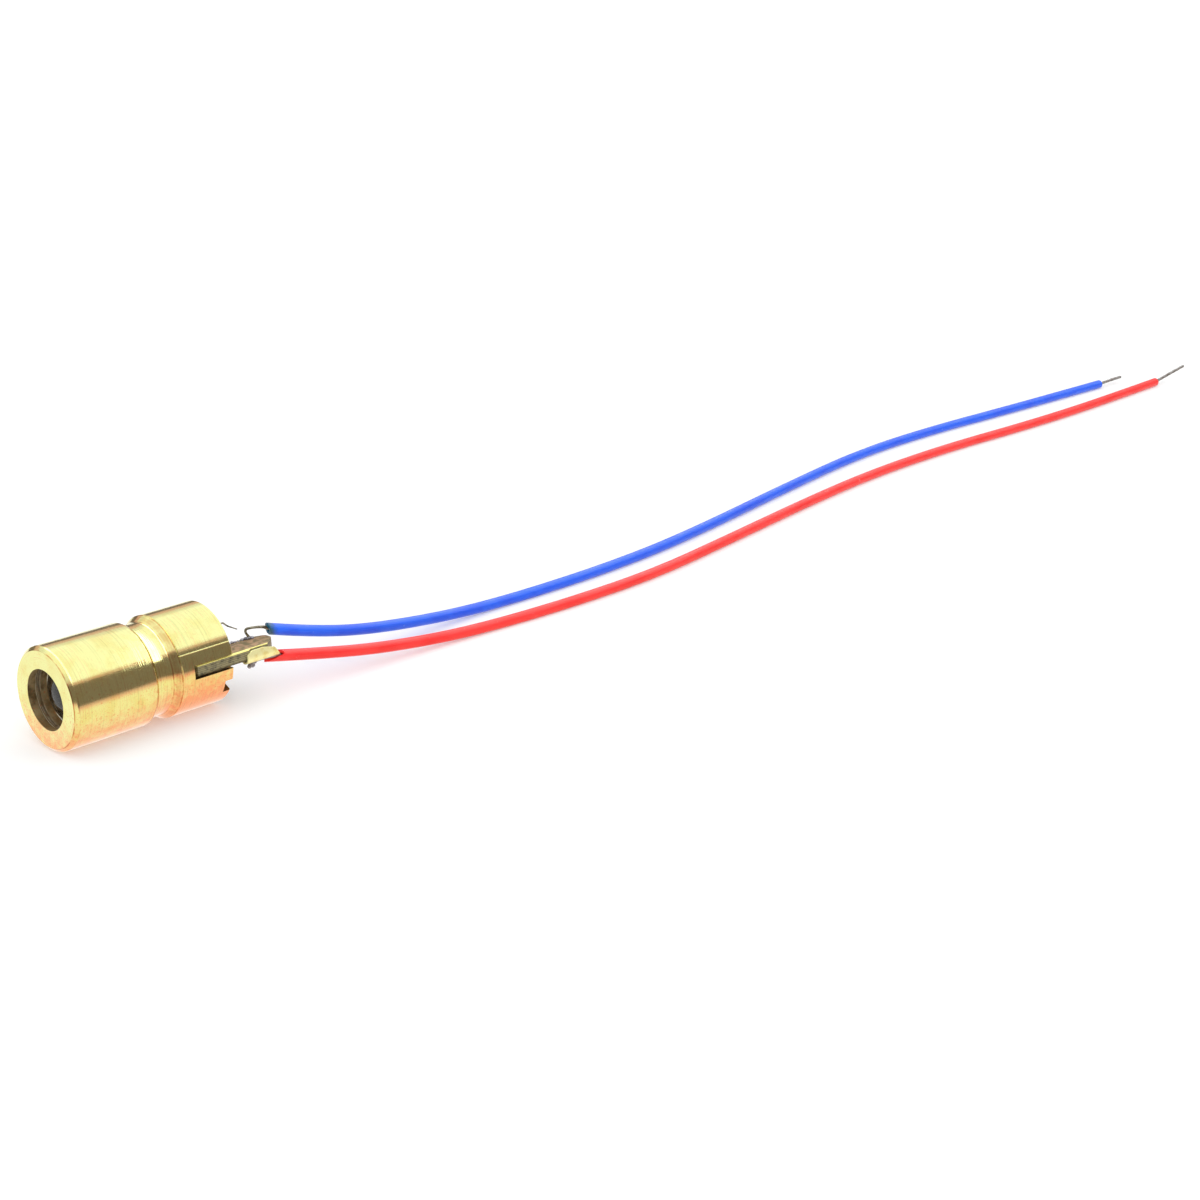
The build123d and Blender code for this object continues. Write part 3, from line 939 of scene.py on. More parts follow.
def close_tree(tree: Tree, geometry: Node, material: Socket) -> None:
    """End a tree: smooth faces, real copies, and the finish.

    Args:
        tree: The tree.
        geometry: What it has made.
        material: The finish.
    """
    smooth = add_node(tree, "GeometryNodeSetShadeSmooth", {"Geometry": geometry})
    real = add_node(tree, "GeometryNodeRealizeInstances", {"Geometry": smooth})
    dressed = add_node(tree, "GeometryNodeSetMaterial", {"Geometry": real, "Material": material})
    add_node(tree, "NodeGroupOutput", {0: dressed})


def run_tree(obj: Piece, tree: Tree, values: dict[str, Any]) -> Piece:
    """Run a tree on an object and keep the result as a plain mesh.

    Args:
        obj: The object that the tree starts from. It is removed.
        tree: The tree.
        values: A value for each named input.

    Returns:
        The plain mesh object.
    """
    modifier = obj.modifiers.new(tree.name, "NODES")
    modifier.node_group = tree
    for item in tree.interface.items_tree:
        if item.in_out == "INPUT" and item.name in values:
            modifier[item.identifier] = values[item.name]
    return baked(obj)


def insulation_tree() -> Tree:
    """Tube that follows a route, with each point's distance from the front end kept on it."""
    tree = new_tree("insulation_tube", {"Radius": "Float", "Step": "Float", "Sides": "Int"})
    given = add_node(tree, "NodeGroupInput").outputs
    line = add_node(tree, "GeometryNodeResampleCurve", {
        "Curve": given["Geometry"], "Length": given["Step"]}, mode="LENGTH")
    along = add_node(tree, "GeometryNodeSplineParameter").outputs["Length"]
    reach = add_node(tree, "ShaderNodeMath", {0: along, 1: 1 / MM}, operation="MULTIPLY")
    marked = add_node(tree, "GeometryNodeStoreNamedAttribute", {
        "Geometry": line, "Name": REACH, "Value": reach}, data_type="FLOAT", domain="POINT")
    close_tree(tree, swept(tree, marked, given["Radius"], given["Sides"]), given["Material"])
    return tree


def strand_tree() -> Tree:
    """Bundle of strands laid in a twist round a line."""
    tree = new_tree("twisted_strands", {
        "Strands": "Int", "Lay Radius": "Float", "Strand Radius": "Float", "Turns per Metre": "Float",
        "Step": "Float"})
    given = add_node(tree, "NodeGroupInput").outputs
    line = add_node(tree, "GeometryNodeResampleCurve", {
        "Curve": given["Geometry"], "Length": given["Step"]}, mode="LENGTH")
    copies = add_node(tree, "GeometryNodeDuplicateElements", {
        "Geometry": line, "Amount": given["Strands"]}, domain="SPLINE")
    share = add_node(tree, "ShaderNodeMath", {
        0: copies.outputs["Duplicate Index"], 1: given["Strands"]}, operation="DIVIDE")
    along = add_node(tree, "GeometryNodeSplineParameter").outputs["Length"]
    turned = add_node(tree, "ShaderNodeMath", {
        0: along, 1: given["Turns per Metre"], 2: share}, operation="MULTIPLY_ADD")
    angle = add_node(tree, "ShaderNodeMath", {0: turned, 1: 2 * math.pi}, operation="MULTIPLY")
    normal = add_node(tree, "GeometryNodeInputNormal")
    tangent = add_node(tree, "GeometryNodeInputTangent")
    spun = add_node(tree, "ShaderNodeVectorRotate", {
        "Vector": normal, "Axis": tangent, "Angle": angle}, rotation_type="AXIS_ANGLE")
    offset = add_node(
        tree, "ShaderNodeVectorMath", {0: spun, "Scale": given["Lay Radius"]}, operation="SCALE")
    laid = add_node(tree, "GeometryNodeSetPosition", {"Geometry": copies, "Offset": offset})
    close_tree(tree, swept(tree, laid, given["Strand Radius"], 12, caps=True), given["Material"])
    return tree


def ring_tree() -> Tree:
    """Rings at an even pitch along a straight line, each standing square to it."""
    tree = new_tree("tool_rings", {"Radius": "Float", "Thickness": "Float", "Pitch": "Float"})
    given = add_node(tree, "NodeGroupInput").outputs
    places = add_node(tree, "GeometryNodeResampleCurve", {
        "Curve": given["Geometry"], "Length": given["Pitch"]}, mode="LENGTH")
    points = add_node(tree, "GeometryNodeCurveToPoints", {"Curve": places}, mode="EVALUATED")
    loop = add_node(
        tree, "GeometryNodeCurvePrimitiveCircle", {"Resolution": 128, "Radius": given["Radius"]})
    copies = add_node(tree, "GeometryNodeInstanceOnPoints", {
        "Points": points, "Instance": swept(tree, loop, given["Thickness"], 8),
        "Rotation": points.outputs["Rotation"]})
    close_tree(tree, copies, given["Material"])
    return tree


# Barrel and lens


@dataclass
class Barrel:
    """The turned brass body. Sizes are in millimetres, and depths are measured from the front face.

    A glint ring is its depth, its radius round the axis and its thickness. The rings are painted glints.
    """

    length: float
    radius: float
    front_chamfer: float = 0.22
    section_end: float = 5.25
    section_chamfer: float = 0.12
    groove_floor: float = 1.13
    groove_depth: float = 0.3
    groove_ramp: float = 0.4
    floor_lean: float = 0.097
    ease: float = 0.03
    rear_chamfer: float = 0.08
    wall: float = 0.7
    lip_width: float = 1.25
    lip_length: float = 0.45
    undercut: float = 0.17
    lens_seat: float = 2.1
    relief_depth: float = 0.74
    relief_length: float = 0.13
    relief_height: float = 0.25
    board_roll: float = 4.0
    slot_length: float = 2.66
    slot_width: float = 0.8
    notch_roll: float = -25.5
    notch_width: float = 0.85
    notch_depth: float = 0.55
    ring_thickness: float = 0.011
    ring_pitch: float = 0.15
    glint_rings: Sequence[Point] = ((0.5, 1.9, 0.02), (0.6, 1.9, 0.012), (1.3, 1.82, 0.03), (1.42, 1.7, 0.03))
    glint_ring_facets: int = 8
    edge_break: float = 0.022
    sides: int = 288
    overrun: float = 1.0

    @classmethod
    def from_frame(cls) -> "Barrel":
        """Take the length and radius from the CAD barrel."""
        low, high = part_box("barrel")
        return cls(length=(high.x - low.x) / MM, radius=high.z / MM)

    def at(self, depth: float) -> float:
        """X of a depth."""
        return depth - self.length / 2

    @property
    def bore(self) -> float:
        """Radius of the main bore."""
        return self.radius - self.wall

    @property
    def aperture(self) -> float:
        """Radius of the front opening."""
        return self.radius - self.lip_width

    @property
    def chamber(self) -> float:
        """Radius of the space in front of the lens."""
        return self.aperture + self.undercut

    def profile(self) -> list[Pair]:
        """Outline of the barrel's wall as (x, radius) points."""
        r = self.radius
        groove = r - self.groove_depth
        groove_start = self.section_end + self.section_chamfer
        ramp_start = groove_start + self.groove_floor
        ramp_end = ramp_start + self.groove_ramp
        relief_end = self.relief_depth + self.relief_length
        relief = self.chamber + self.relief_height
        points = [
            (0.0, self.aperture),
            (0.0, r - self.front_chamfer),
            (self.front_chamfer - self.ease, r - self.ease),
            (self.front_chamfer + 1.7 * self.ease, r),
            (self.section_end - self.ease, r),
            (groove_start, r - 0.82 * self.section_chamfer),
            (groove_start, groove + self.floor_lean),
            (groove_start + 0.42 * self.groove_floor, groove + 0.3 * self.floor_lean),
            (groove_start + 0.65 * self.groove_floor, groove + 0.07 * self.floor_lean),
            (groove_start + 0.82 * self.groove_floor, groove),
            (ramp_start - 2 * self.ease, groove),
            (ramp_start, groove + 0.7 * self.ease),
            (ramp_end, r),
            (ramp_end + 2.5 * self.ease, r - self.ease),
            (ramp_end + 3.3 * self.ease, r),
            (self.length - self.rear_chamfer, r),
            (self.length, r - self.rear_chamfer),
            (self.length, self.bore),
            (self.lens_seat, self.bore),
            (self.lens_seat, self.chamber),
            (relief_end, self.chamber),
            (relief_end, relief),
            (self.relief_depth, relief),
            (self.relief_depth, self.chamber),
            (self.lip_length, self.chamber),
            (self.lip_length, self.aperture),
        ]
        return [(self.at(depth), radius) for depth, radius in points]

    def dress_bore(self, piece: Piece, shaded_bore: Material) -> None:
        """Give the faces inside the barrel their duller finish, whose dark brown is painted shade.

        Args:
            piece: The barrel's piece.
            shaded_bore: The finish of the bore.
        """
        piece.data.materials.append(shaded_bore)
        front = self.at(0.0) + self.edge_break
        for face in piece.data.polygons:
            middle = face.center / MM
            if middle.x > front and math.hypot(middle.y, middle.z) < self.bore + self.edge_break:
                face.material_index = 1

    def build(self, brass: Material, shaded_bore: Material) -> Piece:
        """Turn the wall, cut the slots and the notch, and break the edges.

        Args:
            brass: The finish of the outside.
            shaded_bore: The finish of the bore.

        Returns:
            The barrel's piece.
        """
        wide = self.radius + self.overrun
        end = self.at(self.length) + self.overrun
        half = self.slot_width / 2
        foot = self.at(self.length - self.slot_length)
        slots = block((foot, -wide, -half), (end, wide, half), -self.board_roll)
        half = self.notch_width / 2
        foot = self.at(self.length - self.notch_depth)
        notch = block((foot, -wide, -half), (end, -self.bore / 2, half), -self.notch_roll)
        bm = bevelled(cut_away(lathe(self.profile(), self.sides), [slots, notch]), self.edge_break)
        piece = mesh_object("turned_barrel", bm, brass)
        sharpen(piece, 10.0)
        piece = flattened(piece)
        self.dress_bore(piece, shaded_bore)
        return settle(piece, ["barrel"])

    def build_rings(self, brass: Material) -> Piece:
        """Lay the fine tool rings on the wall of the space in front of the lens.

        Args:
            brass: The finish.

        Returns:
            The rings, as one piece.
        """
        ends = [Vector((self.at(depth) * MM, 0.0, 0.0)) for depth in (self.lip_length, self.lens_seat)]
        piece = run_tree(open_curve("chamber_rings", ends, smooth=False), ring_tree(), {
            "Radius": self.chamber * MM, "Thickness": self.ring_thickness * MM, "Pitch": self.ring_pitch * MM,
            "Material": brass})
        return settle(piece)

    def build_glint_rings(self, whitened: Material) -> Piece:
        """Turn thin pale rings on the chamber's steps, painted glints that show as thin bright arcs.

        Args:
            whitened: The finish.

        Returns:
            The burrs, as one piece.
        """
        bm = bmesh.new()
        turns = [2 * math.pi * i / self.glint_ring_facets for i in range(self.glint_ring_facets)]
        for depth, radius, thickness in self.glint_rings:
            outline = [
                (self.at(depth) + thickness * math.cos(turn), radius + thickness * math.sin(turn))
                for turn in turns]
            hoop = stored("glint_ring", lathe(outline, self.sides))
            bm.from_mesh(hoop)
            bpy.data.meshes.remove(hoop)
        piece = mesh_object("chamber_glint_rings", bm, whitened)
        sharpen(piece, 60.0)
        return settle(piece)


@dataclass
class Lens:
    """The moulded lens, seated against the step of the bore. Sizes are in millimetres."""

    seat_x: float
    rim: float
    flange: float = 0.7
    dome_inset: float = 0.57
    dome_height: float = 0.72
    body_length: float = 0.82
    body_draft: float = 0.03
    back_inset: float = 0.82
    back_bulge: float = 0.18
    arc_steps: int = 24
    sides: int = 160

    def cap(self, foot: float, height: float) -> list[Pair]:
        """Points of a spherical cap from its foot to its top, as (rise, radius)."""
        sphere = (foot ** 2 + height ** 2) / (2 * height)
        reach = math.asin(foot / sphere)
        angles = [reach * (1 - i / self.arc_steps) for i in range(self.arc_steps + 1)]
        return [(sphere * math.cos(a) - (sphere - height), sphere * math.sin(a)) for a in angles]

    def build(self, acrylic: Material) -> Piece:
        """Turn the lens: a dome in front, a flange and a shallow bulge behind.

        Args:
            acrylic: The finish.

        Returns:
            The lens.
        """
        body_x = self.seat_x - self.body_length
        front = [(body_x - rise, r) for rise, r in self.cap(self.rim - self.dome_inset, self.dome_height)]
        front.insert(0, (self.seat_x, self.rim - self.dome_inset + self.body_draft))
        back_x = self.seat_x + self.flange
        back = [(back_x + rise, r) for rise, r in self.cap(self.rim - self.back_inset, self.back_bulge)]
        outline = [*reversed(front), (self.seat_x, self.rim), (back_x, self.rim), *back]
        piece = mesh_object("moulded_lens", lathe(outline, self.sides), acrylic)
        sharpen(piece)
        return settle(piece, ["collimating_lens"])


# Leads


class FrontEnd(Enum):
    """How a lead's insulation ends at the barrel."""

    SCORCHED = "scorched"
    SPLIT = "split"


@dataclass
class Lead:
    """One insulated lead with its soldered core at the far end.

    The route's points are the CAD route's: reach behind the barrel's rear face, y, and height over the
    surface that the object lies on, in millimetres. The tip's points continue it. The split's steps are
    degrees round the wire, with how far the split insulation stands forward there.
    """

    name: str
    route: Sequence[Point]
    tip: Sequence[Point]
    rear_x: float
    floor_z: float
    front_end: FrontEnd
    diameter: float = 0.7
    wall: float = 0.19
    step: float = 0.22
    sides: int = 32
    seed: int = 3
    ragged: float = 0.02
    scorched_lean: float = 0.16
    scorched_roll: float = 70.0
    split: Sequence[Pair] = (
        (-180, 0.5), (-120, 0.9), (-75, 1.2), (-60, 1.22), (-45, 1.0), (35, 0.0), (55, 0.02), (95, 0.27),
        (125, 0.3), (180, 0.5))
    shaped_span: float = 2.2
    lip: float = 0.03
    hollow: float = 0.9
    core_radius: float = 0.12
    core_strands: int = 6
    core_inside: float = 0.7
    core_step: float = 0.12
    core_turns_per_metre: float = 260.0

    def placed(self, route: Sequence[Point]) -> list[Vector]:
        """Route points in the frame, in metres."""
        return [Vector((self.rear_x + reach, y, self.floor_z + height)) * MM for reach, y, height in route]

    def centreline(self) -> list[Vector]:
        """Points of the route's own spline, in metres."""
        line = baked(open_curve("probe", self.placed(self.route)))
        points = [vertex.co.copy() for vertex in line.data.vertices]
        bpy.data.objects.remove(line)
        return points

    def front_shift(self, roll: float, dice: random.Random) -> float:
        """How far the insulation's front edge stands forward at an angle round the wire.

        Args:
            roll: Degrees above the horizontal on the side that faces the viewer, from -180 to 180.
            dice: Seeded random numbers for a ragged edge.

        Returns:
            Millimetres towards the barrel.
        """
        ragged = dice.uniform(-self.ragged, self.ragged)
        if self.front_end is FrontEnd.SCORCHED:
            return self.scorched_lean * math.cos(math.radians(roll - self.scorched_roll)) + ragged
        return between(self.split, roll) + ragged * 0.5

    def finish_end(self, bm: WorkMesh, centre: Vector, outward: Vector, shaped: bool) -> None:
        """Give an open end of the tube its edge, its wall and a dark hollow.

        Args:
            bm: The tube, in millimetres.
            centre: Middle of the end.
            outward: Direction out of the wire.
            shaped: Whether the edge takes the lead's front shape.
        """
        dice = random.Random(self.seed)
        layer = bm.verts.layers.float.get(REACH)
        across = outward.cross(Vector((0, 0, 1))).normalized()
        near = across if across.y < 0 else -across
        up = near.cross(outward).normalized()
        up = up if up.z > 0 else -up

        def roll(vertex: bmesh.types.BMVert) -> float:
            offset = vertex.co - centre
            return math.atan2(offset.dot(up), offset.dot(near))

        rims = {v for e in bm.edges if e.is_boundary for v in e.verts}
        ring = sorted((v for v in rims if (v.co - centre).length < self.diameter), key=roll)
        if shaped:
            shifts = [(roll(v), self.front_shift(math.degrees(roll(v)), dice)) for v in ring]
            for v in bm.verts:
                if v[layer] < self.shaped_span:
                    here = roll(v)
                    shift = min(shifts, key=lambda pair: abs(pair[0] - here))[1]
                    v.co += outward * shift * (1 - v[layer] / self.shaped_span) ** 2
        outer = self.diameter / 2
        inner = outer - self.wall
        loops = [ring]
        for radius, back in (
                (outer - self.lip, -0.5 * self.lip), (inner + 0.02, -0.01), (inner, self.lip),
                (0.95 * inner, self.hollow)):
            loop = []
            for v in ring:
                offset = v.co - centre
                axial = outward * offset.dot(outward)
                radial = (offset - axial).normalized()
                fresh = bm.verts.new(centre + axial + radial * radius - outward * back)
                fresh[layer] = v[layer]
                loop.append(fresh)
            loops.append(loop)
        join_loops(bm, loops)
        bm.faces.new(loops[-1])

    def build_wire(self, finish: Insulation) -> Piece:
        """Make the insulated stretch, open at both ends round its core.

        Args:
            finish: The insulation's finish.

        Returns:
            The wire.
        """
        centre = self.centreline()
        tube = run_tree(open_curve(self.name, self.placed(self.route)), insulation_tree(), {
            "Radius": self.diameter / 2 * MM, "Step": self.step * MM, "Sides": self.sides,
            "Material": finish.build()})
        material = tube.data.materials[0]
        bm = opened(tube, 1 / MM)
        bpy.data.objects.remove(tube)
        first, second, before, last = (centre[i] / MM for i in (0, 1, -2, -1))
        self.finish_end(bm, first, (first - second).normalized(), True)
        self.finish_end(bm, last, (last - before).normalized(), False)
        bmesh.ops.recalc_face_normals(bm, faces=bm.faces)
        piece = mesh_object(self.name, bm, material)
        sharpen(piece, 50.0)
        settle(piece, [self.name])
        return piece

    def build_tip(self, material: Material) -> Piece:
        """Make the bare, tinned and twisted core beyond the insulation.

        Args:
            material: The finish of the strands.

        Returns:
            The tip.
        """
        line = self.placed(self.tip)
        inside = line[0] - (line[1] - line[0]).normalized() * self.core_inside * MM
        strand = self.core_radius / 3
        piece = run_tree(open_curve(self.name + "_core", [inside, *line]), strand_tree(), {
            "Strands": self.core_strands, "Lay Radius": (self.core_radius - strand) * MM,
            "Strand Radius": strand * 1.25 * MM, "Turns per Metre": self.core_turns_per_metre,
            "Step": self.core_step * MM, "Material": material})
        return settle(piece, [self.name + "_tip"])


# Board end: tail, leaf, solder and bare cores


@dataclass
class BoardEnd:
    """What stands out of the barrel's rear: the board's tail, the contact leaf, solder and bare cores.

    Places are (x, y, z) in the frame, in millimetres. A drop of solder is its middle and its radius, and the
    under drops are measured from the middle of the CAD drop.
    """

    hook: Sequence[Point] = (
        (7.72, -1.12, 0.36), (7.62, -1.1, 0.56), (7.49, -1.08, 0.8), (7.5, -1.08, 0.95), (7.66, -1.08, 1.0),
        (8.2, -1.07, 0.93), (8.75, -1.06, 0.8), (9.05, -1.06, 0.66), (9.6, -1.05, 0.5))
    hook_radii: Sequence[float] = (0.1, 0.07, 0.075, 0.08, 0.075, 0.08, 0.1, 0.11, 0.11)
    strand: Sequence[Point] = (
        (4.55, -1.88, 0.66), (5.2, -1.54, 1.34), (5.7, -1.26, 1.88), (6.2, -1.2, 1.56), (6.84, -1.15, 1.2))
    strand_radii: Sequence[float] = (0.05, 0.045, 0.05, 0.04, 0.01)
    strand_steps: int = 8
    core: Sequence[Point] = (
        (6.45, -2.58, -0.33), (7.1, -2.57, -0.33), (7.7, -2.52, -0.36), (8.2, -2.42, -0.45),
        (8.65, -2.3, -0.6), (9.1, -2.24, -0.73), (9.6, -2.29, -0.83))
    core_radius: float = 0.14
    core_steps: int = 6
    edge_drops: Sequence[Drop] = (
        (6.42, -0.96, 0.34, 0.11), (6.58, -0.98, 0.37, 0.13), (6.78, -1.0, 0.36, 0.1), (7.0, -1.0, 0.34, 0.1),
        (7.25, -1.02, 0.36, 0.12), (7.45, -1.06, 0.37, 0.15), (7.68, -1.12, 0.38, 0.18),
        (7.85, -1.16, 0.36, 0.15))
    under_drops: Sequence[Drop] = (
        (-0.13, 0.0, -0.07, 0.13), (0.08, 0.0, -0.02, 0.16), (0.28, 0.0, 0.07, 0.09), (0.02, 0.0, 0.12, 0.18))
    seam_drops: int = 6
    seam_start: float = 0.15
    seam_pitch: float = 0.24
    seam_inset: float = 0.168
    seam_height: float = 0.36
    seam_lean: float = 0.035
    seam_radius: float = 0.17

    def dress(self, node: str, name: str, edge: float, finish: Finish) -> Piece:
        """Copy a CAD node's shape, break its edges and give it a finish, in the node's place.

        Args:
            node: The CAD node that the piece stands for.
            name: The piece's name.
            edge: Width of the broken edges, in millimetres.
            finish: Its finish.

        Returns:
            The piece.
        """
        bm = opened(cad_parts[node], 1 / MM)
        bmesh.ops.remove_doubles(bm, verts=bm.verts, dist=1e-4)
        bmesh.ops.dissolve_limit(bm, angle_limit=math.radians(0.5), verts=bm.verts, edges=bm.edges)
        bmesh.ops.recalc_face_normals(bm, faces=bm.faces)
        piece = mesh_object(name, bevelled(bm, edge), finish.build())
        sharpen(piece)
        return settle(piece, [node])

    def lump(self, name: str, drops: Iterable[Drop], roughen: float, solder: Material, node: str) -> Piece:
        """Melt round drops into one lump of solder.

        Args:
            name: The piece's name.
            drops: The drops.
            roughen: How far the skin wanders, in millimetres.
            solder: Its finish.
            node: The CAD node that it replaces.

        Returns:
            The lump.
        """
        bm = bmesh.new()
        for *middle, radius in drops:
            bmesh.ops.create_icosphere(bm, subdivisions=3, radius=radius, matrix=Matrix.Translation(middle))
        obj = linked(name, stored(name, bm))
        remesh = obj.modifiers.new("melt", "REMESH")
        remesh.mode = "VOXEL"
        remesh.voxel_size = 0.022
        relax = obj.modifiers.new("relax", "SMOOTH")
        relax.iterations = 6
        relax.factor = 0.5
        cloud = bpy.data.textures.new(name, "CLOUDS")
        cloud.noise_scale = 0.16
        skin = obj.modifiers.new("skin", "DISPLACE")
        skin.texture = cloud
        skin.texture_coords = "LOCAL"
        skin.strength = roughen
        melted = baked(obj)
        bm = opened(melted)
        bpy.data.objects.remove(melted)
        return settle(mesh_object(name, bm, solder), [node])

    def build_solder(self) -> None:
        """Lay the lump along the board's edge, the drop under the leaf, and both seams in the slots."""
        solder = SOLDER.build()
        self.lump("edge_solder", self.edge_drops, 0.05, solder, "blue_solder")
        low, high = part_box("red_solder")
        middle = (low + high) / 2 / MM
        under = [(middle.x + x, middle.y + y, middle.z + z, radius) for x, y, z, radius in self.under_drops]
        self.lump("drop_solder", under, 0.06, solder, "red_solder")
        low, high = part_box("barrel_solder")
        start = low.x / MM + self.seam_start
        seams = []
        for y in (low.y / MM, high.y / MM):
            inset = math.copysign(self.seam_inset, y)
            height = self.seam_height - self.seam_lean * y
            seams += [
                (start + i * self.seam_pitch, y - inset, height, self.seam_radius)
                for i in range(self.seam_drops)]
        self.lump("seam_solder", seams, 0.04, solder, "barrel_solder")

    def build_cores(self, dull: Material, tinned: Material) -> None:
        """Bend the hooked core, the stray strand and the core in the leaf's trough.

        Args:
            dull: The finish of the first two.
            tinned: The finish of the third.
        """
        steps = self.strand_steps
        for name, points, radii, node in (
                ("hooked_strand", self.hook, self.hook_radii, "blue_lead"),
                ("stray_strand", self.strand, self.strand_radii, "loose_strand")):
            line = smooth_line(points, steps)
            spread = eased([radii[min(i // steps, len(radii) - 1)] for i in range(len(line))], steps // 2)
            settle(mesh_object(name, rod(line, spread), dull), [node])
        line = smooth_line(self.core, self.core_steps)
        core = rod(line, [self.core_radius] * len(line))
        settle(mesh_object("under_core", core, tinned), ["red_lead"])

    def build(self) -> None:
        """Make every piece at the barrel's rear."""
        self.dress("circuit_board", "sawn_board", 0.025, LAMINATE)
        self.dress("top_copper", "upper_foil", 0.012, FOIL)
        self.dress("bottom_copper", "lower_foil", 0.012, UNDER_FOIL)
        self.dress("contact_leaf", "bent_leaf", 0.02, SHEET_BRASS)
        self.build_solder()
        self.build_cores(FLUXED_WIRE.build(), TINNED.build())


def dress_inner_nodes() -> None:
    """Give the small pieces inside the barrel, whose CAD shape is right, their finishes."""
    finishes = {
        "lens_retainer": BLACK_RING, "heat_sink": SINK_COPPER, "laser_die": DIE_CRYSTAL,
        "bond_wire": GOLD_WIRE, "resistor_body": RESISTOR_GLAZE, "resistor_caps": SOLDER,
    }
    for node, finish in finishes.items():
        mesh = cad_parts[node].data
        mesh.materials.clear()
        mesh.materials.append(finish.build())
        LOG.info("%s dressed", node)


# Studio


